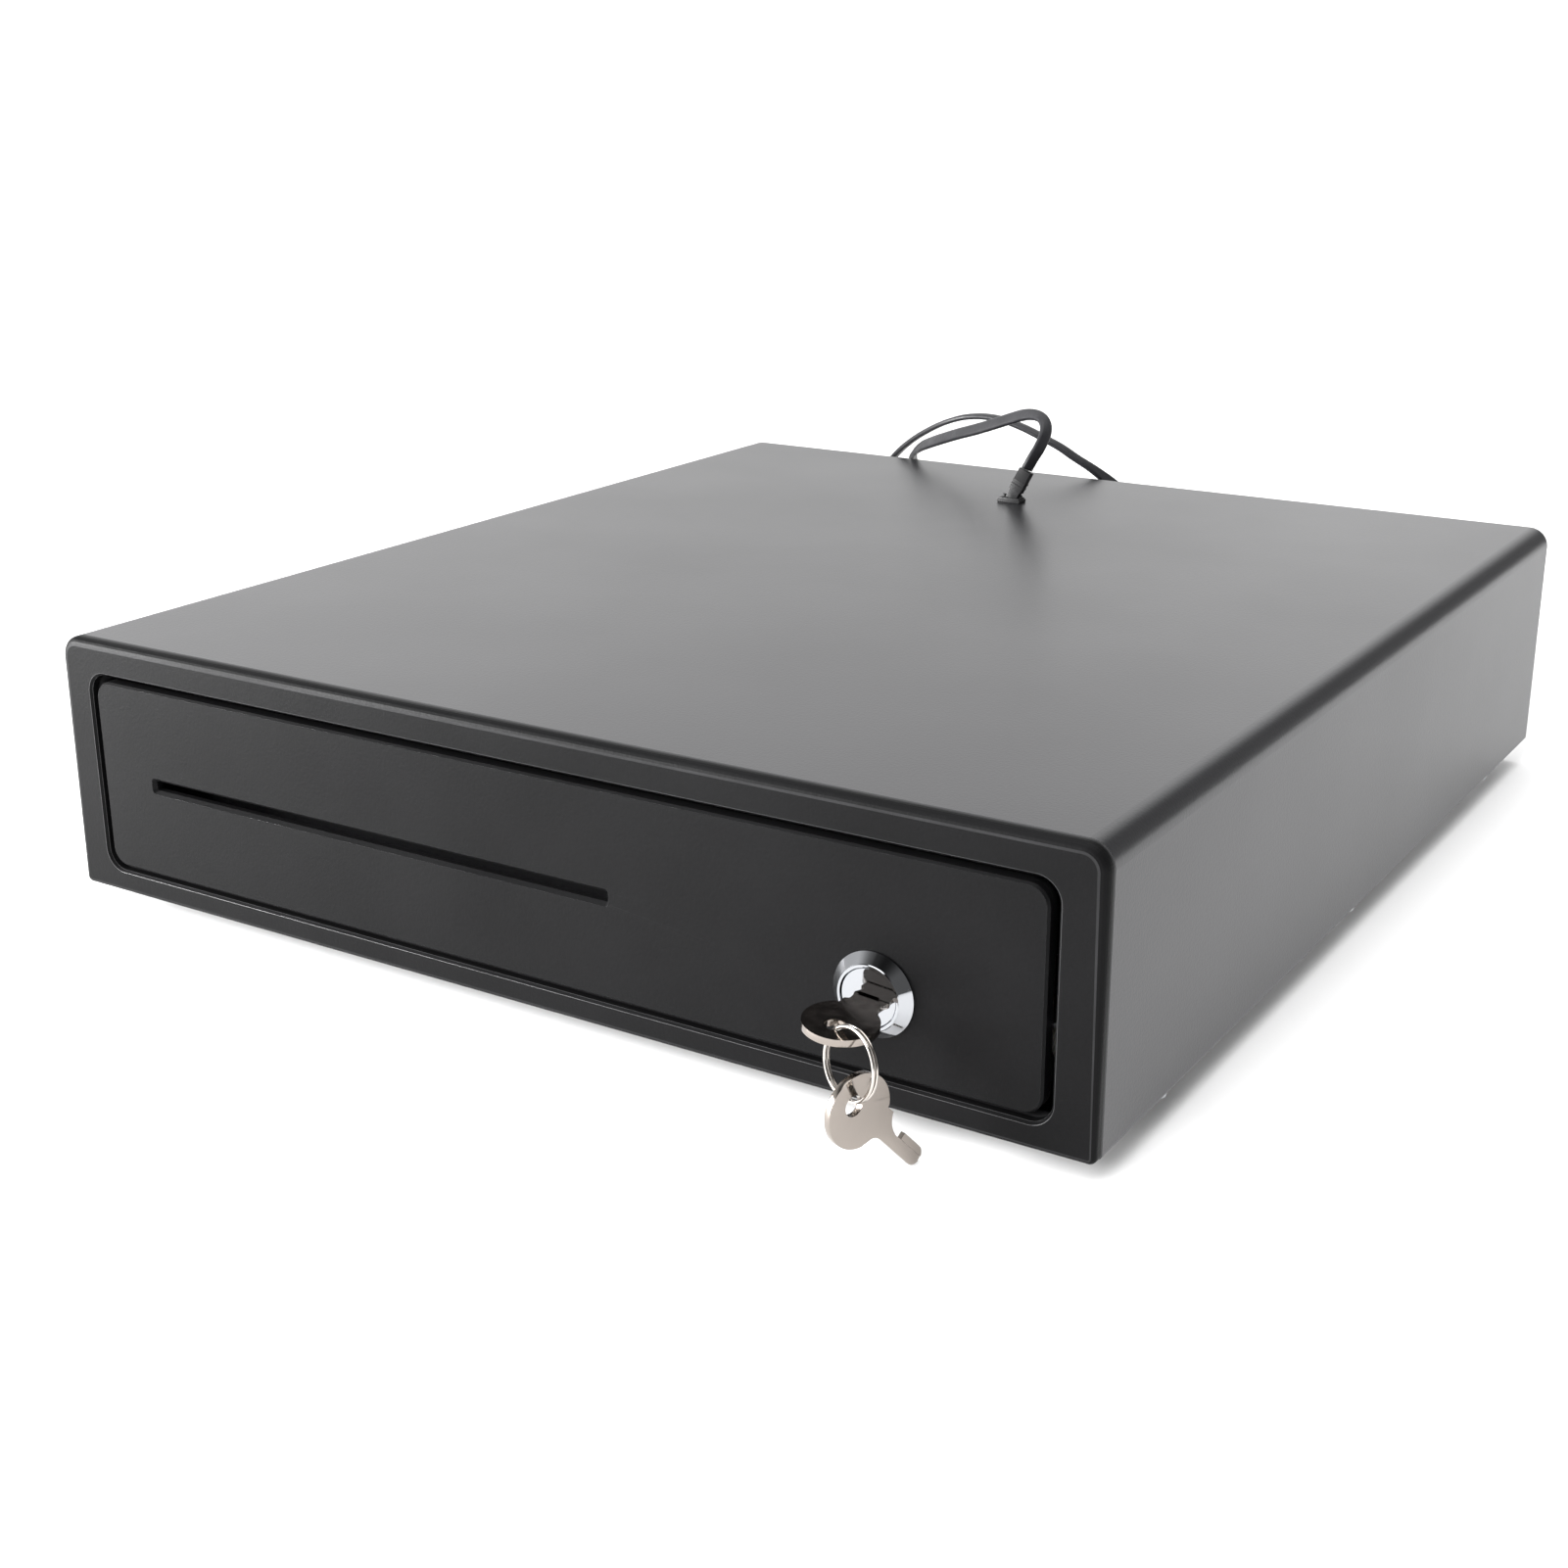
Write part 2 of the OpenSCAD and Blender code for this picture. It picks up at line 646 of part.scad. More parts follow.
// The nut that clamps the lock to the drawer front
module lock_nut() {
  color([0.7, 0.68, 0.6])
  difference() {
    translate([lock_x, yf + 8.1, lock_z]) rotate([90, 0, 0]) rotate([0, 0, 30])
      cylinder(h = 4, r = 13.2, $fn = 6);
    bar_y(lock_x, lock_z, yf + 3, yf + 9, 9.6);
  }
}

// The steel cam on the plug's tail; turned down, it reaches through the drawer's floor
module lock_cam() {
  y0 = yf + 20.2;
  color([0.72, 0.72, 0.74])
  difference() {
    along_y(y0, y0 + 2) union() {
      translate([lock_x, lock_z]) circle(r = 7, $fn = 48);
      translate([lock_x, lock_z - 6]) square([cam_l, 12]);
      translate([lock_x + cam_l, lock_z - 2]) circle(r = 4, $fn = 32);
      translate([lock_x + cam_l, lock_z + 2]) circle(r = 4, $fn = 32);
      translate([lock_x + cam_l, lock_z - 2]) square([4, 4]);
    }
    block([lock_x - 3.06, y0 - 1, lock_z - 3.06], [lock_x + 3.06, y0 + 3, lock_z + 3.06]);
  }
}

// The screw and washer that keep the cam on
module cam_screw() {
  y0 = yf + 22.5;
  color([0.7, 0.7, 0.72])
  difference() {
    union() {
      bar_y(lock_x, lock_z, yf + 18.2, y0 + 0.5, 1.5);
      bar_y(lock_x, lock_z, y0, y0 + 0.8, 5);
      bar_y(lock_x, lock_z, y0 + 0.7, y0 + 2.6, 3);
    }
    block([lock_x - 4, y0 + 1.8, lock_z - 0.4], [lock_x + 4, y0 + 3, lock_z + 0.4]);
  }
}

// The outline of a key's blade, with one long edge straight and the other cut
module blade_outline() {
  difference() {
    polygon([[-5.2, 6], [4.6, 6], [4.6, 11.6], [1.7, 11.6], [1.7, 17.8], [-5.2, 17.8]]);
    translate([-8, 16]) circle(r = 6.5, $fn = 96);
    translate([5.3, 11.6]) circle(r = 3.6, $fn = 96);
  }
  translate([-3.3, 17.7]) square([5, 6.9]);
  translate([-0.8, 24.6]) circle(r = 2.5, $fn = 64);
}

// The broad neck of the key that is in the lock, up to the plug's face
module neck_outline() {
  difference() {
    translate([-4.9, 6]) square([9.8, 7.9]);
    translate([-9.1, 11.4]) circle(r = 5, $fn = 96);
    translate([9.1, 11.4]) circle(r = 5, $fn = 96);
  }
}

// A flat key with the middle of its round bow at the origin; the blade is thinner than the bow
module flat_key(neck) {
  r = bow_d / 2;
  difference() {
    union() {
      translate([0, 0, -key_t / 2]) linear_extrude(key_t) difference() {
        circle(r = r, $fn = 128);
        translate([-r, step_y]) square([2 * r, r]);
      }
      translate([0, 0, -blade_t / 2]) linear_extrude(blade_t) union() {
        circle(r = r, $fn = 128);
        blade_outline();
        if (neck) neck_outline();
      }
    }
    translate([0, -hole_off, -key_t]) cylinder(h = 2 * key_t, r = hole_r, $fn = 64);
    translate([-1.6, 13.9, blade_t / 2 - 0.25]) cube([1.1, 14, 0.5]);
    translate([-1.6, 13.9, -blade_t / 2 - 0.25]) cube([1.1, 14, 0.5]);
  }
}

// The key in the lock
module key() {
  color([0.72, 0.68, 0.64])
  translate([lock_x, yf, lock_z]) rotate([0, key_turned, 0]) rotate([key_droop, 0, 0])
    translate([bow_off, -bow_reach, -0.14]) flat_key(true);
}

// The spare key, hanging from the ring with its tip just off the ground
module spare_key() {
  color([0.74, 0.69, 0.65])
  translate(spare_c) rotate([0, 0, -spare_turned]) rotate([-spare_down, 0, 0])
    rotate([0, 90, 0]) flat_key(false);
}

// The split ring: two turns of wire side by side
module key_ring() {
  color([0.76, 0.74, 0.72])
  translate(ring_c) rotate([0, 0, -ring_turned]) rotate([-90 - ring_lean, 0, 0])
    rotate_extrude($fn = 96) {
      translate([ring_r, -0.5]) circle(r = 0.55, $fn = 24);
      translate([ring_r, 0.5]) circle(r = 0.55, $fn = 24);
    }
}

// ---------- latch ----------

// The foot and boss that carry the latch's pin
module latch_bracket() {
  color([0.6, 0.6, 0.62])
  difference() {
    union() {
      block([pin_x - 8, pin_y - 10, base_top], [pin_x + 12, pin_y + 7.5, base_top + 1.5]);
      translate([pin_x, pin_y, base_top]) cylinder(h = 13.4, r = 5, $fn = 48);
    }
    translate([pin_x, pin_y, base_top - 1]) cylinder(h = 20, r = 2.55, $fn = 48);
  }
}

// The pin that the latch turns on
module latch_pin() {
  color([0.7, 0.7, 0.72])
  translate([pin_x, pin_y, base_top]) {
    cylinder(h = 27, r = 2.5, $fn = 48);
    translate([0, 0, 25.2]) cylinder(h = 1.8, r = 4.2, $fn = 48);
  }
}

// The lever: arm and hook towards the drawer, a peg for the plunger and a finger for hand release
module latch_lever() {
  color([0.66, 0.66, 0.68])
  translate([pin_x, pin_y, 0]) rotate([0, 0, lever_rest]) difference() {
    union() {
      translate([0, 0, lever_z]) cylinder(h = 3, r = 6, $fn = 48);
      block([-3.5, -24, lever_z], [3.5, 0, lever_z + 3]);
      block([-3.5, -24, lever_z], [10, -19.2, lever_z + 3]);
      translate([0, -14, lever_z - 4.5]) cylinder(h = 5, r = 1.5, $fn = 32);
      block([-15.8, -5.5, lever_z], [0, 0.5, lever_z + 3]);
      translate([-14.5, -2.5, zb + 0.3]) cylinder(h = lever_z - zb + 1, r = 2, $fn = 32);
    }
    translate([0, 0, lever_z - 1]) cylinder(h = 5, r = 2.55, $fn = 48);
  }
}

// The coiled return spring round the pin
module latch_spring() {
  color([0.65, 0.66, 0.68])
  translate([pin_x, pin_y, lever_z + 3.4]) rotate_extrude($fn = 48) {
    for (k = [0 : 6]) translate([3.6, 0.5 + k * 0.95]) circle(r = 0.52, $fn = 16);
  }
}

// The hook on the back of the drawer that the latch holds
module striker() {
  color([0.66, 0.66, 0.68]) {
    block([pin_x + 7, box_back, base_top + 9], [pin_x + 21, box_back + 1.5, base_top + 21]);
    block([pin_x + 11.5, box_back, base_top + 9], [pin_x + 13, yr - 25, base_top + 21]);
    block([pin_x + 6, yr - 26.8, base_top + 9], [pin_x + 13, yr - 25, base_top + 21]);
  }
}

// The solenoid's steel yoke
module solenoid_frame() {
  x0 = pin_x - 48;
  color([0.62, 0.62, 0.64])
  difference() {
    union() {
      block([x0, sol_y - 9, base_top], [x0 + 32, sol_y + 9, base_top + 1.5]);
      block([x0, sol_y - 9, base_top], [x0 + 1.8, sol_y + 9, sol_z + 9.5]);
      block([x0 + 30.2, sol_y - 9, base_top], [x0 + 32, sol_y + 9, sol_z + 9.5]);
    }
    bar_x(sol_y, sol_z, x0 + 29, x0 + 33, 4.6);
  }
}

// The winding on its bobbin
module solenoid_coil() {
  x0 = pin_x - 46;
  color([0.55, 0.3, 0.15])
  translate([x0, sol_y, sol_z]) rotate([0, 90, 0]) rotate_extrude($fn = 64)
    polygon([
      [4.06, 0], [9, 0], [9, 1.5], [8.2, 1.5], [8.2, 26.4], [9, 26.4], [9, 28], [4.06, 28]
    ]);
}

// The plunger, with a slotted end plate over the lever's peg
module solenoid_plunger() {
  px = pin_x + 14 * sin(lever_rest);
  color([0.75, 0.75, 0.77])
  difference() {
    union() {
      bar_x(sol_y, sol_z, pin_x - 36, px - 7, 4);
      block([px - 9, sol_y - 3.8, sol_z - 1.1], [px + 3.2, sol_y + 3.8, sol_z + 0.9]);
    }
    block([px - 1.72, sol_y - 2.6, sol_z - 2], [px + 1.72, sol_y + 3, sol_z + 2]);
  }
}

// ---------- ejector and switch ----------

// The tube that guides the ejector, on a foot
module ejector_housing() {
  color([0.14, 0.14, 0.15])
  difference() {
    union() {
      bar_y(eject_x, eject_z, yr - 33, yr - 1.2, 7.5);
      block([eject_x - 6, yr - 26, base_top], [eject_x + 6, yr - 1.2, eject_z]);
    }
    bar_y(eject_x, eject_z, yr - 40, yr - 3, 5.06);
  }
}

// The sprung plunger that starts the drawer out
module ejector_plunger() {
  color([0.85, 0.85, 0.82]) {
    bar_y(eject_x, eject_z, box_back + 0.3, box_back + 3, 8);
    bar_y(eject_x, eject_z, box_back + 2.5, yr - 9, 5);
  }
}

// The angle that holds the switch
module switch_bracket() {
  color([0.6, 0.6, 0.62]) {
    block([sw_x, yr - 24, base_top], [sw_x + 22, yr - 12, base_top + 1.2]);
    block([sw_x, yr - 14, base_top], [sw_x + 22, yr - 12.8, base_top + 24]);
  }
}

// The switch that tells whether the drawer is open
module switch_body() {
  color([0.1, 0.1, 0.1])
  difference() {
    union() {
      block([sw_x + 1, yr - 24.5, base_top + 12], [sw_x + 21, yr - 14.1, base_top + 18.4]);
      translate([sw_x + 3, yr - 25, base_top + 12]) cylinder(h = 6.4, r = 1.9, $fn = 32);
    }
    translate([sw_x + 3, yr - 25, base_top + 13.4]) cylinder(h = 3.6, r = 3.4, $fn = 48);
    translate([sw_x + 3, yr - 25, base_top + 11]) cylinder(h = 9, r = 0.8, $fn = 32);
  }
}

// The switch's arm, which rests close to the back of the drawer
module switch_lever() {
  color([0.78, 0.78, 0.8])
  translate([sw_x + 3, yr - 25, 0]) rotate([0, 0, -36]) {
    translate([0, 0, base_top + 12.1]) cylinder(h = 6.2, r = 0.75, $fn = 32);
    translate([0, 0, base_top + 13.6]) cylinder(h = 3.2, r = 1.6, $fn = 32);
    block([0, -0.9, base_top + 13.6], [20, -0.1, base_top + 16.8]);
    translate([20, -1.2, base_top + 13.6]) cylinder(h = 3.2, r = 2, $fn = 32);
  }
}

// ---------- lead ----------

// The tapered sleeve where the lead leaves the back
module strain_relief() {
  color([0.05, 0.05, 0.05])
  translate([exit_x, 0, exit_z]) rotate([-90, 0, 0]) difference() {
    union() {
      translate([0, 0, yr - 2.6]) cylinder(h = 1.5, r = 7.5, $fn = 48);
      translate([0, 0, yr - 1.2]) cylinder(h = 1.4, r = 6, $fn = 48);
      translate([0, 0, yr + 0.1]) cylinder(h = 1.4, r = 7.5, $fn = 48);
      translate([0, 0, yr + 1.2]) cylinder(h = exit_y - yr - 1.2, r1 = 5.2, r2 = 3, $fn = 48);
    }
    for (k = [0 : 3]) translate([0, 0, yr + 3 + 2.2 * k]) rotate_extrude($fn = 48)
      translate([4.7 - 0.42 * k, 0]) square([2, 0.8]);
  }
}

inner_points = [
  [exit_x, yr - 3.2, exit_z], [exit_x, yr - 6, exit_z - 1], [exit_x + 1, yr - 8, exit_z - 6],
  [exit_x + 3, yr - 9, exit_z - 14], [exit_x + 6, yr - 9, exit_z - 22],
  [sol_x0 - 23, yr - 10, base_top + 5], [sol_x0 - 15, yr - 12, base_top + 3],
  [sol_x0 - 7, yr - 16, base_top + 3], [sol_x0 - 0.5, sol_y + 3, base_top + 5]
];

// The lead inside the case, from the back to the solenoid
module inner_lead() {
  color([0.05, 0.05, 0.05]) flat_lead(inner_points, [1, 0, 0], 3.4, 2, 8);
}

first_points = [
  [exit_x, exit_y + 0.2, exit_z], [5, yr + 18, exit_z + 1], [5, yr + 24, exit_z + 4],
  [4, yr + 28, exit_z + 10], [3, yr + 28, exit_z + 18], [1, yr + 24, exit_z + 26],
  [-2, yr + 17, exit_z + 34], [-5.5, yr + 10, exit_z + 40], [-10, yr + 5, zt + 3],
  [-16, yr + 2.5, zt + 7], [-22, yr + 1, zt + 10.8], [-29, yr, zt + 14], [-37, yr, zt + 17],
  [-46, yr, zt + 19.4], [-55, yr, zt + 20.2], [-64, yr, zt + 19.2], [-73.5, yr + 1.5, zt + 16.1],
  [-83, yr + 4.5, zt + 11.6], [-92.6, yr + 8, zt + 6], [-101, yr + 11, zt - 0.4],
  [-108, yr + 14, zt - 8], [-114, yr + 17, zt - 18], [-119, yr + 21, zt - 29],
  [-125, yr + 27, zt - 42], [-130.5, yr + 32, zt - 54], [-135, yr + 37, zt - 65], [-137.5, yr + 43, 12.4]
];

// The lead from the sleeve, up over the back and down to the coil
module lead_first_run() {
  color([0.07, 0.07, 0.07]) flat_lead(first_points, [1, 0, 0], lead_w, lead_t, 10);
}

second_points = [
  [-86.5, yr + 43, 12.2], [-87, yr + 37, 19], [-88, yr + 33.5, 30], [-89.5, yr + 32.5, 42],
  [-92, yr + 31.5, 54], [-95, yr + 28.5, 65], [-97, yr + 22.5, 74.5], [-95.6, yr + 14.8, 81.3],
  [-91.3, yr + 7.3, 86.9], [-84, yr + 0.3, 91.4], [-75, yr - 6.8, 95.2], [-65, yr - 13.5, 99],
  [-55, yr - 19.7, 102.6],
  [-46, yr - 24.2, 105.6], [-37, yr - 28.4, 108.9], [-28.2, yr - 32.4, 112.2], [-20.7, yr - 36, 114.9],
  [-14.8, yr - 39, 116], [-10, yr - 41.8, 115.6], [-6.9, yr - 44.6, 113.5], [-5.7, yr - 47.6, 110.4],
  [-6.2, yr - 50.6, 106.4], [-7.8, yr - 52.8, 102.4], [-9.6, yr - 53.8, 98.4]
];

// The lead from the coil, up over the back again and forward to the plug
module lead_second_run() {
  color([0.07, 0.07, 0.07]) flat_lead(second_points, [0, 1, 0], lead_w, lead_t, 10);
}

// The spare length, put away in a neat coil behind the case
module lead_coil() {
  color([0.07, 0.07, 0.07]) translate(coil_c) rotate_extrude($fn = 96)
    translate([coil_r, 5.2]) round_rect(-5.4, 5.4, -4.9, 4.9, 2);
}

// The tie round the coil
module coil_tie() {
  color([0.03, 0.03, 0.03])
  translate(coil_c) rotate([0, 0, 90]) difference() {
    block([coil_r - 6.6, -2, 0], [coil_r + 6.6, 2, 11.2]);
    block([coil_r - 5.6, -3, 0.2], [coil_r + 5.6, 3, 10.3]);
  }
}

// The plug on the end of the lead, standing on its broad foot on top of the case
module lead_plug() {
  color([0.08, 0.08, 0.08])
  translate([-14.5, yr - 55.9, zt + 0.03]) union() {
    block([-4.5, -2.8, 0], [4.5, 2.8, 1.8]);
    translate([0, 0, 1]) rotate([-10, 24, 0]) union() {
      block([-2.1, -1.5, 0], [2.1, 1.5, 5]);
      block([-2.5, -1.7, 3.4], [2.5, 1.7, 12.1]);
    }
    for (s = [-1, 1]) translate([3.3 * s, 0.6, 1.5]) cylinder(h = 1.3, r = 0.7, $fn = 24);
  }
}

// ---------- what to draw ----------

case_shell();
base_plate();
rear_panel();
front_frame();
feet();
case_screws();
lock_keeper();
rail_left();
rail_right();
case_axles();
case_roller_left();
case_roller_right();
drawer_roller_left();
drawer_roller_right();
drawer_axles();
drawer_runners();
drawer_front();
drawer_box();
front_screws();
note_chute();
note_tray();
tray_strips();
coin_tray();
note_clip_1();
note_clip_2();
note_clip_3();
note_clip_4();
clip_axle();
clip_springs();
lock_housing();
lock_plug();
lock_nut();
lock_cam();
cam_screw();
key();
spare_key();
key_ring();
latch_bracket();
latch_pin();
latch_lever();
latch_spring();
striker();
solenoid_frame();
solenoid_coil();
solenoid_plunger();
ejector_housing();
ejector_plunger();
switch_bracket();
switch_body();
switch_lever();
strain_relief();
inner_lead();
lead_first_run();
lead_second_run();
lead_coil();
coil_tie();
lead_plug();
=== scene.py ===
import math
import bmesh
import bpy
from mathutils import Matrix, Vector


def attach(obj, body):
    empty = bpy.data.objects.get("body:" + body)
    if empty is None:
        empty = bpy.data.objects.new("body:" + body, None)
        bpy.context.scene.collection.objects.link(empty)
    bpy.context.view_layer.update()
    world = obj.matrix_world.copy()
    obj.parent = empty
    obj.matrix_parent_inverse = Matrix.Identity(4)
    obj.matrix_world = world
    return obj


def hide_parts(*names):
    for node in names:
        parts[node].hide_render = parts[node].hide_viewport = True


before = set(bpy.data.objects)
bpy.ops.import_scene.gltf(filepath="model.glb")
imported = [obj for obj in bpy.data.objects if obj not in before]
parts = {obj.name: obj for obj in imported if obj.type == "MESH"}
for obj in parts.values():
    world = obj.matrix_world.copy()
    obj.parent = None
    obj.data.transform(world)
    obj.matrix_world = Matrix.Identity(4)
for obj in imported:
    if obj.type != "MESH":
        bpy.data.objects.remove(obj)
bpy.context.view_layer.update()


# ---------------------------------------------------------------- camera
# The drawer is looked at from its right front corner, from a little above the top,
# through an ordinary lens at arm's length.
camera_place = (0.34412, -0.59341, 0.25351)
turn, tip, lean = math.radians(32.456), math.radians(19.138), math.radians(-0.241)
backward = Vector((math.sin(turn) * math.cos(tip), -math.cos(turn) * math.cos(tip),
                   math.sin(tip)))
sideways = Vector((math.cos(turn), math.sin(turn), 0))
upward = backward.cross(sideways)
cam_right = sideways * math.cos(lean) + upward * math.sin(lean)
cam_up = upward * math.cos(lean) - sideways * math.sin(lean)
lens = bpy.data.cameras.new("camera")
lens.sensor_width = 36
lens.lens = 50.09
lens.clip_start = 0.01
camera = bpy.data.objects.new("camera", lens)
bpy.context.scene.collection.objects.link(camera)
camera.matrix_world = (
    Matrix.Translation(camera_place)
    @ Matrix((cam_right, cam_up, backward)).transposed().to_4x4()
)
bpy.context.scene.camera = camera


# ---------------------------------------------------------------- the flat lead
# A flat signal lead of soft black vinyl, about 1.5 m long. It leaves a sleeve in the back,
# arches over the back edge of the case and goes down again to the spare length, which is wound
# on edge into a small coil behind the case. From there it comes back up and over to its plug.
# The lead, the tie, the plug and the ring are laid out in millimetres.
lead_wide, lead_thin = 4.6, 2.2
coil_centre = (-112, 229)
lead_out = [
    (5, 197.2, 44), (5, 203, 45), (5, 209, 48), (4, 213, 54), (3, 213, 62), (1, 209, 70),
    (-2, 202, 78), (-5.5, 195, 84), (-10, 190, 89), (-16, 187.5, 93), (-22, 186, 96.8),
    (-29, 185, 100), (-37, 185, 103), (-46, 185, 105.4), (-55, 185, 106.2), (-64, 185, 105.2),
    (-73.5, 186.5, 102.1), (-83, 189.5, 97.6), (-92.6, 193, 92), (-101, 196, 85.6),
    (-108, 199, 78), (-114, 202, 68), (-119, 206, 57), (-125, 212, 44), (-130.5, 217, 32),
    (-135, 222, 21), (-137.5, 228, 12.4),
]
lead_back = [
    (-86.5, 228, 12.2), (-87, 222, 19), (-88, 218.5, 30), (-89.5, 217.5, 42), (-92, 216.5, 54),
    (-95, 213.5, 65), (-97, 207.5, 74.5), (-95.6, 199.8, 81.3), (-91.3, 192.3, 86.9),
    (-84, 185.3, 91.4), (-75, 178.2, 95.2), (-65, 171.5, 99), (-55, 165.3, 102.6),
    (-46, 160.8, 105.6), (-37, 156.6, 108.9),
    (-28.2, 152.6, 112.2), (-20.7, 149, 114.9), (-14.8, 146, 116), (-10, 143.2, 115.6),
    (-6.9, 140.4, 113.5), (-5.7, 137.4, 110.4), (-6.2, 134.4, 106.4), (-7.8, 132.2, 102.4),
    (-9.6, 131.2, 98.4),
]
# turns wound so far, radius of the turn and height of the lead's middle above the ground
coil_winding = [
    (0.0, 25.6, 12.4), (0.16, 26.8, 9.6), (0.36, 27.0, 7.6), (0.9, 27.4, 7.5), (1.5, 29.5, 7.5),
    (1.8, 29.7, 2.9), (2.4, 28.6, 2.7), (3.0, 27.0, 2.7), (4.0, 24.4, 2.7), (4.9, 21.6, 2.7),
    (5.25, 21.4, 7.4), (5.8, 22.9, 7.5), (6.22, 24.3, 7.9), (6.5, 25.5, 12.2),
]


def eased(points, steps):
    """A smooth line through the points."""
    line = []
    last = len(points) - 1
    for i in range(last):
        a, b, c, d = (Vector(points[max(0, min(last, i + k))]) for k in (-1, 0, 1, 2))
        for s in range(steps):
            t = s / steps
            line.append(
                0.5 * (2 * b + (c - a) * t + (2 * a - 5 * b + 4 * c - d) * t * t
                       + (3 * b - a - 3 * c + d) * t * t * t)
            )
    line.append(Vector(points[-1]))
    return line


def wound(winding, centre, per_turn):
    """The coil's centreline, clockwise from its left side."""
    line = []
    count = round(winding[-1][0] * per_turn)
    for i in range(1, count):
        turns = winding[-1][0] * i / count
        k = max(j for j in range(len(winding) - 1) if winding[j][0] <= turns)
        t = (turns - winding[k][0]) / (winding[k + 1][0] - winding[k][0])
        t = t * t * (3 - 2 * t)
        r = winding[k][1] + (winding[k + 1][1] - winding[k][1]) * t
        z = winding[k][2] + (winding[k + 1][2] - winding[k][2]) * t
        a = math.pi - 2 * math.pi * turns
        line.append(Vector((centre[0] + r * math.cos(a), centre[1] + r * math.sin(a), z)))
    return line


def headings(line):
    """The way a line goes at each of its points."""
    last = len(line) - 1
    return [(line[min(i + 1, last)] - line[max(i - 1, 0)]).normalized() for i in range(last + 1)]


def across(v, t):
    """The part of one direction that is square to another."""
    return (v - t * v.dot(t)).normalized()


def turned_by(ways, keys):
    """The wide direction along a run, eased between keys of (place along the run, direction)."""
    out = []
    for i, t in enumerate(ways):
        at = i / (len(ways) - 1)
        k = max(j for j in range(len(keys) - 1) if keys[j][0] <= at)
        (a, u), (b, v) = keys[k], keys[k + 1]
        mix = (at - a) / (b - a)
        mix = mix * mix * (3 - 2 * mix)
        out.append(across(Vector(u).lerp(Vector(v), mix), t))
    return out


def swept(name, line, wides, outline):
    """A skin of the given outline along a line, closed with flat ends."""
    ways = headings(line)
    mesh = bmesh.new()
    rings = []
    for p, t, u in zip(line, ways, wides):
        v = t.cross(u)
        rings.append([mesh.verts.new((p + u * x + v * y) * 0.001) for x, y in outline])
    n = len(outline)
    for a, b in zip(rings, rings[1:]):
        for k in range(n):
            mesh.faces.new((a[k], a[(k + 1) % n], b[(k + 1) % n], b[k]))
    mesh.faces.new(list(reversed(rings[0])))
    mesh.faces.new(rings[-1])
    bmesh.ops.recalc_face_normals(mesh, faces=mesh.faces)
    data = bpy.data.meshes.new(name)
    mesh.to_mesh(data)
    mesh.free()
    for face in data.polygons:
        face.use_smooth = len(face.vertices) == 4
    thing = bpy.data.objects.new(name, data)
    bpy.context.scene.collection.objects.link(thing)
    return thing


def oval(wide, thin, squareness, count):
    """Outline of a section: an oval at squareness 2, and nearer to a rectangle above it."""
    out = []
    for k in range(count):
        a = 2 * math.pi * k / count
        c, s = math.cos(a), math.sin(a)
        out.append((wide / 2 * math.copysign(abs(c) ** (2 / squareness), c),
                    thin / 2 * math.copysign(abs(s) ** (2 / squareness), s)))
    return out


def finish_named(name, colour, roughness, metallic=0.0):
    """A new finish with its colour and gloss on the shader's own sockets."""
    made = bpy.data.materials.new(name)
    made.use_nodes = True
    tree = made.node_tree
    shader = tree.nodes["Principled BSDF"]
    shader.inputs["Base Color"].default_value = (*colour, 1)
    shader.inputs["Roughness"].default_value = roughness
    shader.inputs["Metallic"].default_value = metallic
    return made, tree, shader


def noise(tree, scale, detail=2.0, stretch=(1, 1, 1)):
    """Noise laid in the object's own metres."""
    place = tree.nodes.new("ShaderNodeTexCoord")
    size = tree.nodes.new("ShaderNodeMapping")
    size.inputs["Scale"].default_value = stretch
    grain = tree.nodes.new("ShaderNodeTexNoise")
    grain.inputs["Scale"].default_value = scale
    grain.inputs["Detail"].default_value = detail
    grain.inputs["Roughness"].default_value = 0.5
    tree.links.new(place.outputs["Object"], size.inputs["Vector"])
    tree.links.new(size.outputs["Vector"], grain.inputs["Vector"])
    return grain.outputs["Fac"]


def spread(tree, value, low, high, start=0.35, end=0.65):
    """A value mapped from a band of the noise to a range."""
    step = tree.nodes.new("ShaderNodeMapRange")
    step.inputs["From Min"].default_value = start
    step.inputs["From Max"].default_value = end
    step.inputs["To Min"].default_value = low
    step.inputs["To Max"].default_value = high
    tree.links.new(value, step.inputs["Value"])
    return step.outputs["Result"]


def tinted(tree, value, dark, light):
    """Two shades mixed by a noise value."""
    ramp = tree.nodes.new("ShaderNodeValToRGB")
    ramp.color_ramp.elements[0].position = 0.3
    ramp.color_ramp.elements[0].color = (*dark, 1)
    ramp.color_ramp.elements[1].position = 0.7
    ramp.color_ramp.elements[1].color = (*light, 1)
    tree.links.new(value, ramp.inputs["Fac"])
    return ramp.outputs["Color"]


def bumped(tree, shader, height, depth):
    """Surface relief of a real depth in metres."""
    bump = tree.nodes.new("ShaderNodeBump")
    bump.inputs["Distance"].default_value = depth
    bump.inputs["Strength"].default_value = 1.0
    tree.links.new(height, bump.inputs["Height"])
    tree.links.new(bump.outputs["Normal"], shader.inputs["Normal"])


def coat(thing, finish):
    """Gives the whole of a piece one finish."""
    thing.data.materials.clear()
    thing.data.materials.append(finish)


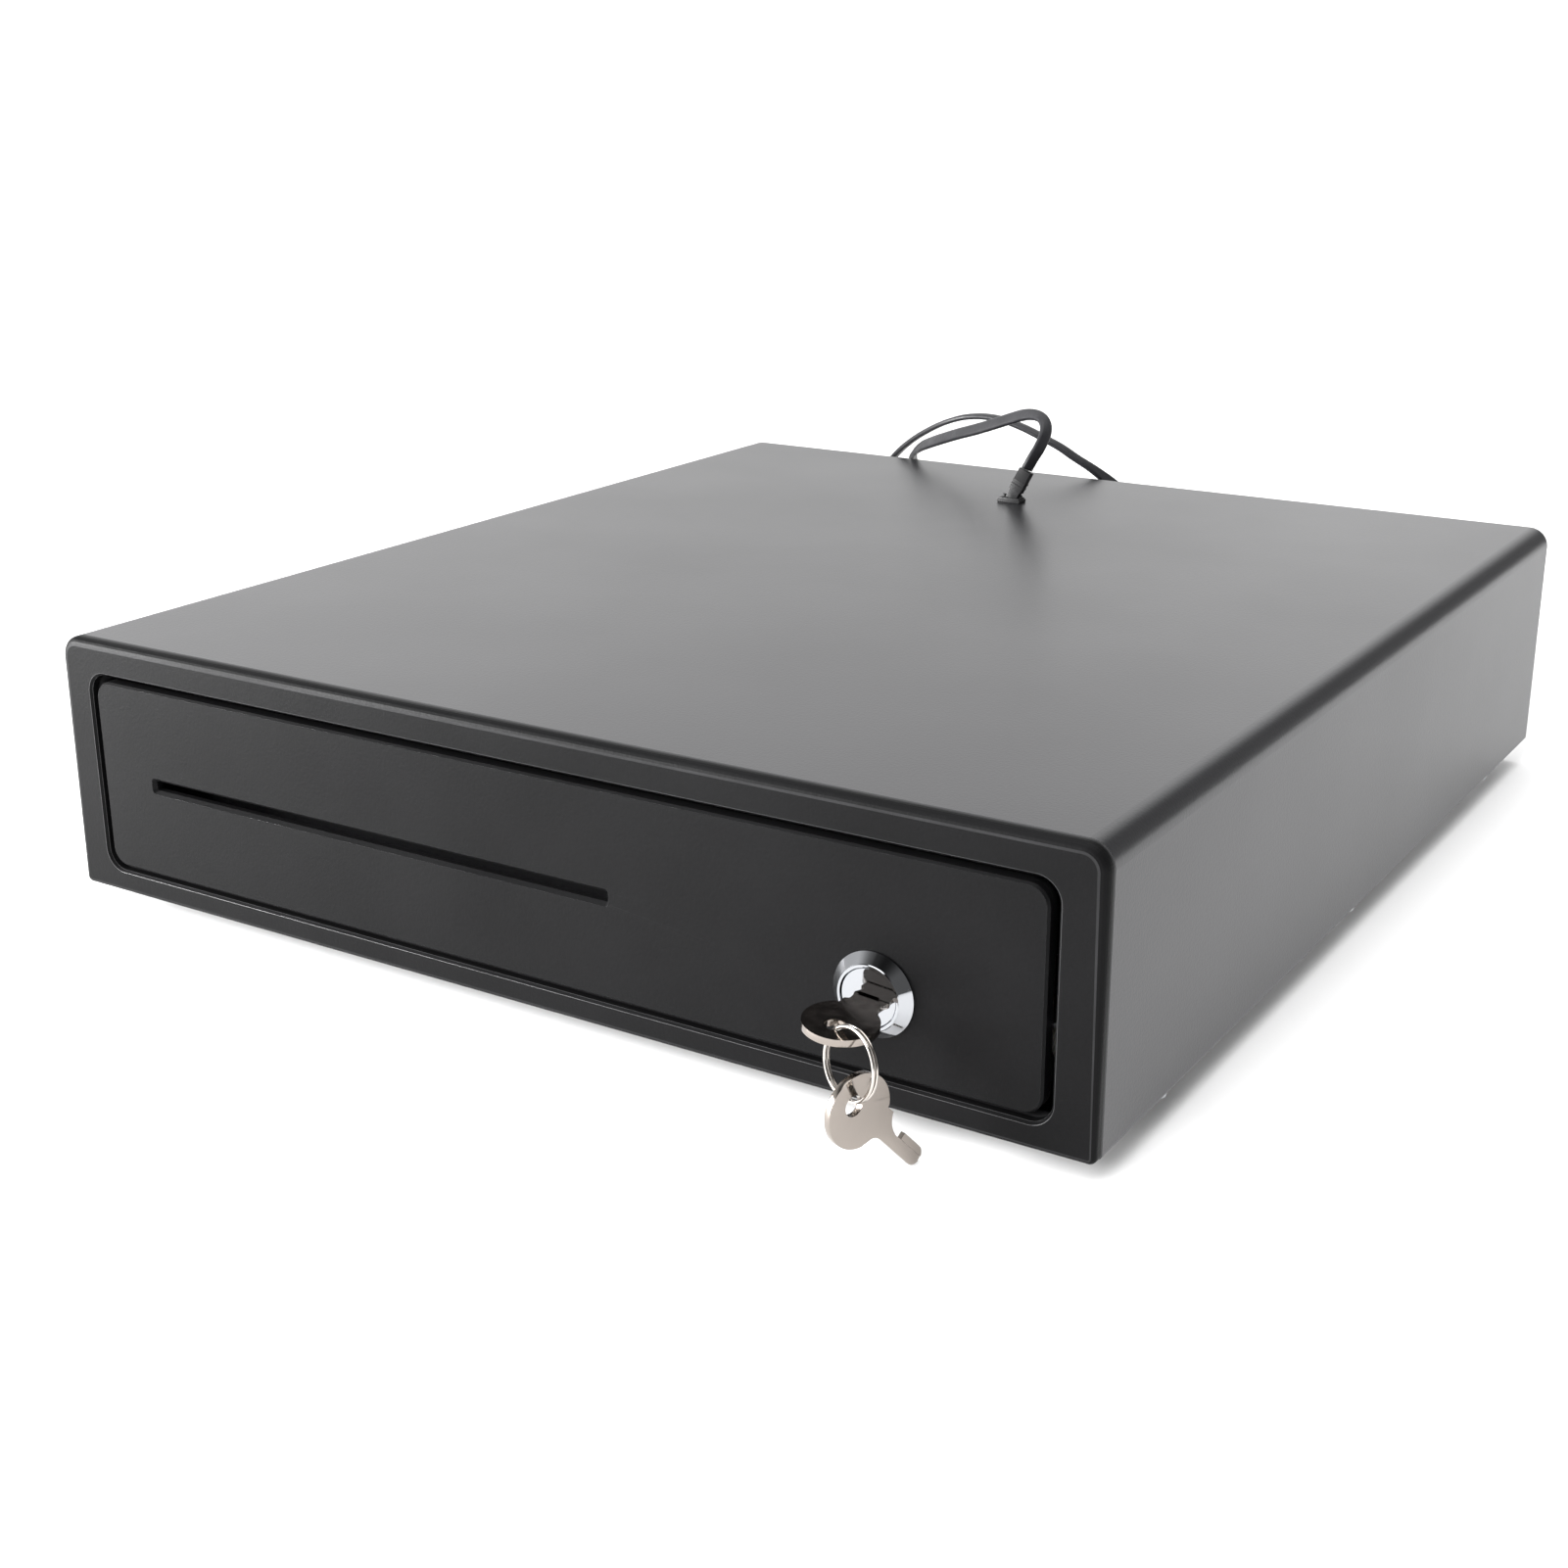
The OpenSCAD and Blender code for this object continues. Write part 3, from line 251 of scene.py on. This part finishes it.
vinyl, tree, shader = finish_named("lead vinyl", (0.013, 0.013, 0.015), 0.45)
shader.inputs["IOR"].default_value = 1.36
tree.links.new(spread(tree, noise(tree, 260, 3), 0.36, 0.5), shader.inputs["Roughness"])
tree.links.new(tinted(tree, noise(tree, 90), (0.01, 0.01, 0.012), (0.017, 0.017, 0.019)),
               shader.inputs["Base Color"])
bumped(tree, shader, noise(tree, 900, 3), 0.00006)

run_out, run_back = eased(lead_out, 4), eased(lead_back, 4)
turns = wound(coil_winding, coil_centre, 40)
lead_line = run_out + turns + run_back
ways = headings(lead_line)
wide_turns = [across(Vector((0, 0, 1)), t)
              for t in ways[len(run_out) : len(run_out) + len(turns)]]
# each run leaves the case or the coil on edge and lies flat where it goes over the back
wide_out = turned_by(ways[: len(run_out)], [
    (0.0, (1, 0, 0)), (0.12, (1, 0, 0)), (0.32, (0.2, 1, 0)), (0.78, (0.1, 1, 0.1)),
    (1.0, (0.2, 0.3, 1))])
wide_back = turned_by(ways[-len(run_back) :], [
    (0.0, (0, 0.3, 1)), (0.08, (0, 1, 0.3)), (0.25, (0.1, 1, 0)), (0.45, (0.1, 0.4, 1)),
    (0.66, (0.1, 0.4, 1)), (0.84, (0.5, 0.85, 0)), (1.0, (0.75, 1, 0))])
lead = swept("signal_lead", lead_line, wide_out + wide_turns + wide_back,
             oval(lead_wide, lead_thin, 3.2, 20))
coat(lead, vinyl)
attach(lead, "case")
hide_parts("lead_first_run", "lead_second_run", "lead_coil")


# ---------------------------------------------------------------- the tie round the coil
# A strip of soft black hook-and-loop tape, wrapped once round the bundle of turns, with its free
# end laid flat under it.
tie_wide, tie_thin = 4, 0.55


def strap_line(r_in, r_out, z_in, z_out, corner, step):
    """A line once round the bundle, from its foot outward, growing by a step on the way."""
    line = []
    per_corner = 8
    for q, (sr, sz) in enumerate([(1, -1), (1, 1), (-1, 1), (-1, -1)]):
        for k in range(per_corner + 1):
            a = math.radians(-90 + 90 * q + 90 * k / per_corner)
            grow = step * ((q * (per_corner + 1) + k) / (4 * (per_corner + 1)))
            r = (r_out if sr > 0 else r_in) - sr * corner + (corner + grow) * math.cos(a)
            z = (z_out if sz > 0 else z_in) - sz * corner + (corner + grow) * math.sin(a)
            line.append(Vector((coil_centre[0], coil_centre[1] + r, z)))
    return line


tape, tree, shader = finish_named("tie tape", (0.012, 0.012, 0.013), 0.85)
weave = tree.nodes.new("ShaderNodeTexVoronoi")
weave.inputs["Scale"].default_value = 2600
where = tree.nodes.new("ShaderNodeTexCoord")
tree.links.new(where.outputs["Object"], weave.inputs["Vector"])
bumped(tree, shader, weave.outputs["Distance"], 0.00015)
tree.links.new(tinted(tree, noise(tree, 1200, 2), (0.008, 0.008, 0.009), (0.022, 0.022, 0.024)),
               shader.inputs["Base Color"])
tie_line = strap_line(r_in=19.7, r_out=31.4, z_in=0.9, z_out=10.7, corner=1.6, step=0.5)
tie_line.append(tie_line[-1] + Vector((0, 4.0, -0.05)))
tie = swept("coil_tie_tape", tie_line, [Vector((1, 0, 0))] * len(tie_line),
            oval(tie_wide, tie_thin, 5, 16))
coat(tie, tape)
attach(tie, "case")
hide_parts("coil_tie")


# ---------------------------------------------------------------- the lead's plug
# A small modular plug of black plastic. Its slim boot is moulded on the end of the lead and its
# broad low nose, with six gilt contacts along the far side, stands on top of the case.
def block_mesh(mesh, low, high):
    """A box between two corners, added to a mesh."""
    made = bmesh.ops.create_cube(mesh, size=1)
    for v in made["verts"]:
        v.co = Vector([low[i] + (v.co[i] + 0.5) * (high[i] - low[i]) for i in range(3)])


# edges sharper than the first are rounded off, and than the second are shaded as creases
rounding_angle, crease_angle = math.radians(35), math.radians(40)


def rounded_off(thing, ease, steps=2):
    """Rounds a piece's hard edges off by some millimetres."""
    round_off = thing.modifiers.new("eased edges", "BEVEL")
    round_off.width = ease * 0.001
    round_off.segments = steps
    round_off.limit_method = "ANGLE"
    round_off.angle_limit = rounding_angle
    return round_off


def built(name, mesh, place, ease=0.0):
    """A mesh in millimetres as an object in metres, its edges eased."""
    bmesh.ops.recalc_face_normals(mesh, faces=mesh.faces)
    data = bpy.data.meshes.new(name)
    mesh.to_mesh(data)
    mesh.free()
    data.transform(place)
    data.transform(Matrix.Scale(0.001, 4))
    thing = bpy.data.objects.new(name, data)
    bpy.context.scene.collection.objects.link(thing)
    if ease:
        rounded_off(thing, ease)
    for face in data.polygons:
        face.use_smooth = True
    data.set_sharp_from_angle(angle=crease_angle)
    return thing


def one_piece(name, blocks, place, ease):
    """Several blocks joined into one solid skin."""
    base = None
    for i, (low, high) in enumerate(blocks):
        mesh = bmesh.new()
        block_mesh(mesh, low, high)
        thing = built(f"{name}_{i}" if i else name, mesh, place)
        if base is None:
            base = thing
            continue
        join = base.modifiers.new(f"join {i}", "BOOLEAN")
        join.operation = "UNION"
        join.solver = "EXACT"
        join.object = thing
        settle(base)
        bpy.data.objects.remove(thing)
    rounded_off(base, ease)
    settle(base)
    for face in base.data.polygons:
        face.use_smooth = True
    base.data.set_sharp_from_angle(angle=crease_angle)
    return base


def settle(thing):
    """Works a piece's modifiers into its mesh."""
    ready = thing.evaluated_get(bpy.context.evaluated_depsgraph_get())
    fresh = bpy.data.meshes.new_from_object(ready)
    thing.modifiers.clear()
    old = thing.data
    fresh.name = old.name
    thing.data = fresh
    bpy.data.meshes.remove(old)


plug_foot = Matrix.Translation((-14.5, 129.1, 86.03))
plug_lean = (plug_foot @ Matrix.Translation((0, 0, 1)) @ Matrix.Rotation(math.radians(24), 4, "Y")
             @ Matrix.Rotation(math.radians(-10), 4, "X"))
plug_black, tree, shader = finish_named("plug plastic", (0.009, 0.009, 0.0095), 0.5)
shader.inputs["IOR"].default_value = 1.34
tree.links.new(spread(tree, noise(tree, 300, 3), 0.44, 0.56), shader.inputs["Roughness"])
bumped(tree, shader, noise(tree, 1200, 2), 0.00003)
plug = one_piece("plug_nose", [
    ((-4.5, -2.8, 0.0), (4.5, 2.8, 1.2)), ((-4.1, -2.4, 1.0), (4.1, 2.4, 1.8)),
    ((-3.9, 0.0, 1.5), (-2.7, 1.2, 2.75)), ((2.7, 0.0, 1.5), (3.9, 1.2, 2.75)),
], plug_foot, 0.3)
boot = one_piece("plug_boot", [
    ((-2.1, -1.5, 0.2), (2.1, 1.5, 5.0)), ((-2.5, -1.7, 3.6), (2.5, 1.7, 12.1)),
    ((-2.65, -1.85, 5.2), (2.65, 1.85, 5.9)), ((-2.65, -1.85, 7.0), (2.65, 1.85, 7.7)),
], plug_lean, 0.32)
mesh = bmesh.new()
contact_count, contact_pitch, contact_half = 6, 1.02, 0.16
for k in range(contact_count):
    x = contact_pitch * (k - (contact_count - 1) / 2)
    block_mesh(mesh, (x - contact_half, 2.7, 0.2), (x + contact_half, 2.86, 1.0))
gilt, tree, shader = finish_named("gilt contacts", (0.62, 0.42, 0.14), 0.28, 1.0)
tree.links.new(spread(tree, noise(tree, 500, 2), 0.2, 0.38), shader.inputs["Roughness"])
contacts = built("plug_contacts", mesh, plug_foot, 0.04)
coat(contacts, gilt)
coat(plug, plug_black)
coat(boot, plug_black)
for thing in (plug, boot, contacts):
    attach(thing, "case")
    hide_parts("lead_plug")


# ---------------------------------------------------------------- the surface and the light
# The drawer stands on a plain pale surface in a room that is bright behind it and on its left,
# and darker in front and on its right. One wide soft light stands to the left of its front; two
# fill lights, in front and behind on the right, light the surface and aren't mirrored.
mesh = bmesh.new()
bmesh.ops.create_grid(mesh, x_segments=1, y_segments=1, size=6)
data = bpy.data.meshes.new("surface")
mesh.to_mesh(data)
mesh.free()
surface = bpy.data.objects.new("surface", data)
bpy.context.scene.collection.objects.link(surface)
surface.location.z = -0.0002  # a hair below the ground, so that no foot lies in it
pale, tree, shader = finish_named("pale surface", (0.86, 0.86, 0.86), 0.75)
coat(surface, pale)

room = bpy.data.worlds.new("room")
room.use_nodes = True
tree = room.node_tree
look = tree.nodes.new("ShaderNodeTexCoord")
apart = tree.nodes.new("ShaderNodeSeparateXYZ")
tree.links.new(look.outputs["Generated"], apart.inputs["Vector"])
compass = tree.nodes.new("ShaderNodeMath")
compass.operation = "ARCTAN2"
tree.links.new(apart.outputs["X"], compass.inputs[0])
tree.links.new(apart.outputs["Y"], compass.inputs[1])
walls = tree.nodes.new("ShaderNodeValToRGB")
walls.color_ramp.interpolation = "EASE"
dial = tree.nodes.new("ShaderNodeMapRange")
dial.inputs["From Min"].default_value = -math.pi
dial.inputs["From Max"].default_value = math.pi
tree.links.new(compass.outputs["Value"], dial.inputs["Value"])
tree.links.new(dial.outputs["Result"], walls.inputs["Fac"])
room_strength = 2.0
# compass direction in degrees (0 is behind, 90 on the right) and how bright the room is there
stops = [(-180, 0.2), (-152, 0.5), (-140, 1.2), (-95, 1.0), (-65, 1.5), (-48, 1.6), (-30, 1.35),
         (-14, 1.6), (-2, 1.15), (7, 0.25), (60, 0.6), (120, 0.2), (180, 0.2)]
for k, (degrees, bright) in enumerate(stops):
    stop = walls.color_ramp.elements[k] if k < 2 else walls.color_ramp.elements.new(0.99)
    stop.position = (degrees + 180) / 360
    level = bright / room_strength
    stop.color = (level, level, level, 1)
fade = tree.nodes.new("ShaderNodeMapRange")
fade.interpolation_type = "SMOOTHSTEP"
fade.inputs["From Min"].default_value = 0.5
fade.inputs["From Max"].default_value = 0.8
fade.inputs["To Min"].default_value = 1.0
fade.inputs["To Max"].default_value = 0.12
tree.links.new(apart.outputs["Z"], fade.inputs["Value"])
dimmed = tree.nodes.new("ShaderNodeMath")
dimmed.operation = "MULTIPLY"
tree.links.new(walls.outputs["Color"], dimmed.inputs[0])
tree.links.new(fade.outputs["Result"], dimmed.inputs[1])
ceiling = tree.nodes.new("ShaderNodeMapRange")
ceiling.interpolation_type = "SMOOTHSTEP"
ceiling.inputs["From Min"].default_value = 0.84
ceiling.inputs["From Max"].default_value = 0.9
ceiling.inputs["To Max"].default_value = 1.7
tree.links.new(apart.outputs["Z"], ceiling.inputs["Value"])
brighter = tree.nodes.new("ShaderNodeMath")
brighter.operation = "MAXIMUM"
tree.links.new(dimmed.outputs["Value"], brighter.inputs[0])
tree.links.new(ceiling.outputs["Result"], brighter.inputs[1])
tree.links.new(brighter.outputs["Value"], tree.nodes["Background"].inputs["Color"])
tree.nodes["Background"].inputs["Strength"].default_value = room_strength
bpy.context.scene.world = room
bpy.context.scene.view_settings.view_transform = "Standard"


def soft_light(name, place, aim, size, power):
    """A square lamp turned towards a point."""
    lamp = bpy.data.lights.new(name, "AREA")
    lamp.shape = "SQUARE"
    lamp.size = size
    lamp.energy = power
    thing = bpy.data.objects.new(name, lamp)
    bpy.context.scene.collection.objects.link(thing)
    thing.location = place
    thing.rotation_euler = (Vector(aim) - Vector(place)).to_track_quat("-Z", "Y").to_euler()
    return thing


right_fill = soft_light("right_fill_light", (1.0, 0.8, 0.6), (0.25, 0.1, 0), 0.6, 6)
right_fill.visible_glossy = False
soft_light("left_soft_light", (-1.2, -1.0, 0.35), (-0.1, -0.1, 0.05), 0.7, 84)
front_fill = soft_light("front_fill_light", (0.1, -1.6, 1.1), (0.0, -0.2, 0), 0.9, 45)
front_fill.visible_glossy = False


# ---------------------------------------------------------------- the steel case
# The skin is folded from 1 mm steel sheet and powder coated satin black, with the fine leather
# grain that such a coat has. The back plate is coated with it.
powder, tree, shader = finish_named("black powder coat", (0.009, 0.009, 0.0098), 0.3)
shader.inputs["IOR"].default_value = 1.49
shader.inputs["Specular Tint"].default_value = (0.96, 0.96, 1, 1)
tree.links.new(tinted(tree, noise(tree, 9, 3), (0.008, 0.008, 0.0088), (0.0105, 0.0105, 0.0115)),
               shader.inputs["Base Color"])
tree.links.new(spread(tree, noise(tree, 14, 4), 0.288, 0.308), shader.inputs["Roughness"])
bumped(tree, shader, noise(tree, 1300, 2), 0.00004)
for name in ("case_shell", "rear_panel"):
    coat(parts[name], powder)


# ---------------------------------------------------------------- frame and drawer front
# Frame and front are moulded in satin black plastic. The frame's lip plugs into the steel skin;
# the front is screwed to the drawer from inside.
def edge_eased(thing, ease, steps=2):
    """Takes the sharpness off a piece's hard edges."""
    join = thing.modifiers.new("joined skin", "WELD")
    join.merge_threshold = 0.000002
    rounded_off(thing, ease, steps).harden_normals = True


def satin_plastic(name):
    """Satin black plastic, with its two near shades given back for joining on."""
    made, tree, shader = finish_named(name, (0.004, 0.004, 0.0043), 0.42)
    shader.inputs["IOR"].default_value = 1.145
    shades = tinted(tree, noise(tree, 22, 3), (0.0035, 0.0035, 0.0037), (0.0048, 0.0048, 0.0051))
    tree.links.new(spread(tree, noise(tree, 30, 3), 0.39, 0.46), shader.inputs["Roughness"])
    bumped(tree, shader, noise(tree, 1300, 2), 0.00005)
    return made, tree, shader, shades


satin, tree, shader, shades = satin_plastic("satin front plastic")
tree.links.new(shades, shader.inputs["Base Color"])
# painted highlight: the eased edges of frame and front get a lighter colour than the satin,
# standing in for the light that these edges catch
painted_highlight, tree, shader = finish_named("rubbed plastic edge", (0.055, 0.055, 0.056), 0.4)
shader.inputs["IOR"].default_value = 1.55
tree.links.new(spread(tree, noise(tree, 260, 3), 0.28, 0.4), shader.inputs["Roughness"])
tree.links.new(tinted(tree, noise(tree, 60, 3), (0.042, 0.042, 0.043), (0.06, 0.06, 0.062)),
               shader.inputs["Base Color"])
for name in ("front_frame", "drawer_front"):
    coat(parts[name], satin)
    parts[name].data.materials.append(painted_highlight)
    edge_eased(parts[name], 0.28)
    parts[name].modifiers["eased edges"].material = 1

# the frame's face ends in a ridge before its eased edge. Both the ridge, told by how little the
# surface has turned from straight ahead, and the seam with the steel get a lighter colour: a
# painted highlight standing in for the light that they catch
ridge_and_seam_highlight, tree, shader, shades = satin_plastic("satin frame, rubbed at ridge and seam")
facing = tree.nodes.new("ShaderNodeNewGeometry")
apart = tree.nodes.new("ShaderNodeSeparateXYZ")
tree.links.new(facing.outputs["Normal"], apart.inputs["Vector"])
ridge_in = spread(tree, apart.outputs["Y"], 0.0, 1.0, -0.995, -0.985)
ridge_out = spread(tree, apart.outputs["Y"], 1.0, 0.0, -0.972, -0.95)
where = tree.nodes.new("ShaderNodeTexCoord")
place = tree.nodes.new("ShaderNodeSeparateXYZ")
tree.links.new(where.outputs["Object"], place.inputs["Vector"])
seam_y = min(v.co.y for v in parts["case_shell"].data.vertices)
seam = spread(tree, place.outputs["Y"], 0.0, 1.0, seam_y - 0.0011, seam_y - 0.0004)
# the mask of the painted highlight: the ridge band and the seam band together
highlight_mask = tree.nodes.new("ShaderNodeMath")
highlight_mask.operation = "MULTIPLY_ADD"
for k, value in enumerate((ridge_in, ridge_out, seam)):
    tree.links.new(value, highlight_mask.inputs[k])
highlight_mask.use_clamp = True
shade = tree.nodes.new("ShaderNodeMix")
shade.data_type = "RGBA"
colour_a, colour_b, colour_out = 6, 7, 2  # the mix's own colour sockets
tree.links.new(highlight_mask.outputs["Value"], shade.inputs["Factor"])
tree.links.new(shades, shade.inputs[colour_a])
# the lighter shades are the painted highlight
tree.links.new(tinted(tree, noise(tree, 60, 3), (0.03, 0.03, 0.031), (0.046, 0.046, 0.048)),
               shade.inputs[colour_b])
tree.links.new(shade.outputs[colour_out], shader.inputs["Base Color"])
parts["front_frame"].data.materials[0] = ridge_and_seam_highlight


# ---------------------------------------------------------------- lock and keys
# The lock is die-cast zinc, polished and chromed; the keys are stamped from nickel-plated brass
# and hang on a ring of nickel-plated spring wire.
chrome, tree, shader = finish_named("bright chrome", (0.36, 0.368, 0.385), 0.05, 1.0)
tree.links.new(spread(tree, noise(tree, 400, 3), 0.03, 0.08), shader.inputs["Roughness"])
for name in ("lock_housing", "lock_plug"):
    coat(parts[name], chrome)
nickel, tree, shader = finish_named("nickel plate", (0.27, 0.241, 0.217), 0.16, 1.0)
tree.links.new(spread(tree, noise(tree, 350, 4), 0.1, 0.22), shader.inputs["Roughness"])
bumped(tree, shader, noise(tree, 1500, 3), 0.00001)
for name in ("key", "spare_key"):
    coat(parts[name], nickel)
    edge_eased(parts[name], 0.22, 3)

# the ring is one length of round wire, wound twice round and stepping over to its second turn
ring_stand = (Matrix.Translation((116.55, -208.0, 30.86))
              @ Matrix.Rotation(math.radians(-20.2), 4, "Z")
              @ Matrix.Rotation(math.radians(-96), 4, "X"))
ring_radius, wire_pitch, wire_steps = 8.7, 1.0, 192
ring_start, ring_sweep, step_over_at, step_over_in = 96, 712, 338, 36
ring_line = []
for k in range(wire_steps + 1):
    gone = ring_sweep * k / wire_steps
    over = min(1, max(0, (gone - step_over_at) / step_over_in))
    over = over * over * (3 - 2 * over)
    a = math.radians(ring_start + gone)
    ring_line.append(ring_stand @ Vector((ring_radius * math.cos(a), ring_radius * math.sin(a),
                                          wire_pitch * (over - 0.5))))
axle = (ring_stand.to_3x3() @ Vector((0, 0, 1))).normalized()
ring_wides = [across(axle, t) for t in headings(ring_line)]
split_ring = swept("split_ring", ring_line, ring_wides, oval(0.76, 0.96, 2.3, 16))
ring_plate, tree, shader = finish_named("ring nickel", (0.46, 0.43, 0.40), 0.14, 1.0)
tree.links.new(spread(tree, noise(tree, 500, 3), 0.1, 0.2), shader.inputs["Roughness"])
coat(split_ring, ring_plate)
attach(split_ring, "ring_set")
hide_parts("key_ring")


# ---------------------------------------------------------------- zinc-plated steel parts
# Rails, runners, axles, brackets and screws are steel with bright zinc plate, rolled and
# stamped, so they carry a faint grain along the drawer.
zinc, tree, shader = finish_named("bright zinc plate", (0.55, 0.56, 0.58), 0.34, 1.0)
tree.links.new(spread(tree, noise(tree, 120, 4, (6, 0.6, 6)), 0.26, 0.44),
               shader.inputs["Roughness"])
tree.links.new(tinted(tree, noise(tree, 40, 3), (0.5, 0.51, 0.54), (0.6, 0.61, 0.62)),
               shader.inputs["Base Color"])
for name in ("case_screws", "lock_keeper", "rail_left", "rail_right", "case_axles",
             "drawer_axles", "drawer_runners", "front_screws", "clip_axle", "clip_springs",
             "lock_nut", "lock_cam", "cam_screw", "latch_bracket", "latch_pin", "latch_lever",
             "latch_spring", "striker", "solenoid_frame", "solenoid_plunger", "switch_bracket",
             "switch_lever"):
    coat(parts[name], zinc)


# ---------------------------------------------------------------- drawer box and base
# The drawer box and the bottom of the case are folded from sheet steel with a thin grey-black
# coat.
thin_coat, tree, shader = finish_named("thin grey-black coat", (0.022, 0.022, 0.024), 0.5)
tree.links.new(tinted(tree, noise(tree, 18, 4), (0.018, 0.018, 0.02), (0.028, 0.028, 0.03)),
               shader.inputs["Base Color"])
bumped(tree, shader, noise(tree, 900, 2), 0.00003)
for name in ("drawer_box", "base_plate"):
    coat(parts[name], thin_coat)


# ---------------------------------------------------------------- till, clips and chute
# The trays are moulded in matt black plastic with a fine spark-eroded texture.
moulded, tree, shader = finish_named("matt till plastic", (0.02, 0.02, 0.021), 0.55)
tree.links.new(tinted(tree, noise(tree, 30, 3), (0.016, 0.016, 0.017), (0.024, 0.024, 0.026)),
               shader.inputs["Base Color"])
bumped(tree, shader, noise(tree, 1400, 3), 0.00005)
for name in ("note_tray", "tray_strips", "coin_tray", "note_clip_1", "note_clip_2", "note_clip_3",
             "note_clip_4", "note_chute", "ejector_housing", "switch_body"):
    coat(parts[name], moulded)


# ---------------------------------------------------------------- rollers and ejector
# The rollers and the ejector's plunger are turned from natural nylon.
nylon, tree, shader = finish_named("natural nylon", (0.72, 0.7, 0.64), 0.4)
shader.inputs["Subsurface Weight"].default_value = 0.15
shader.inputs["Subsurface Radius"].default_value = (0.002, 0.002, 0.0015)
tree.links.new(spread(tree, noise(tree, 200, 3), 0.34, 0.5), shader.inputs["Roughness"])
bumped(tree, shader, noise(tree, 700, 2), 0.00004)
for name in ("case_roller_left", "case_roller_right", "drawer_roller_left", "drawer_roller_right",
             "ejector_plunger"):
    coat(parts[name], nylon)


# ---------------------------------------------------------------- feet
# The feet are moulded black rubber with a dull skin.
rubber, tree, shader = finish_named("foot rubber", (0.016, 0.016, 0.016), 0.75)
bumped(tree, shader, noise(tree, 1000, 3), 0.00006)
coat(parts["feet"], rubber)


# ---------------------------------------------------------------- solenoid winding
# Enamelled copper wire wound close on the bobbin.
winding, tree, shader = finish_named("enamelled copper", (0.45, 0.16, 0.05), 0.25, 0.9)
turns_map = tree.nodes.new("ShaderNodeTexWave")
turns_map.bands_direction = "X"
turns_map.inputs["Scale"].default_value = 600
where = tree.nodes.new("ShaderNodeTexCoord")
tree.links.new(where.outputs["Object"], turns_map.inputs["Vector"])
bumped(tree, shader, turns_map.outputs["Fac"], 0.0002)
coat(parts["solenoid_coil"], winding)


# ---------------------------------------------------------------- lead inside and its sleeve
# The sleeve in the back is soft black vinyl moulded round the lead, which goes on inside.
for name in ("strain_relief", "inner_lead"):
    coat(parts[name], vinyl)
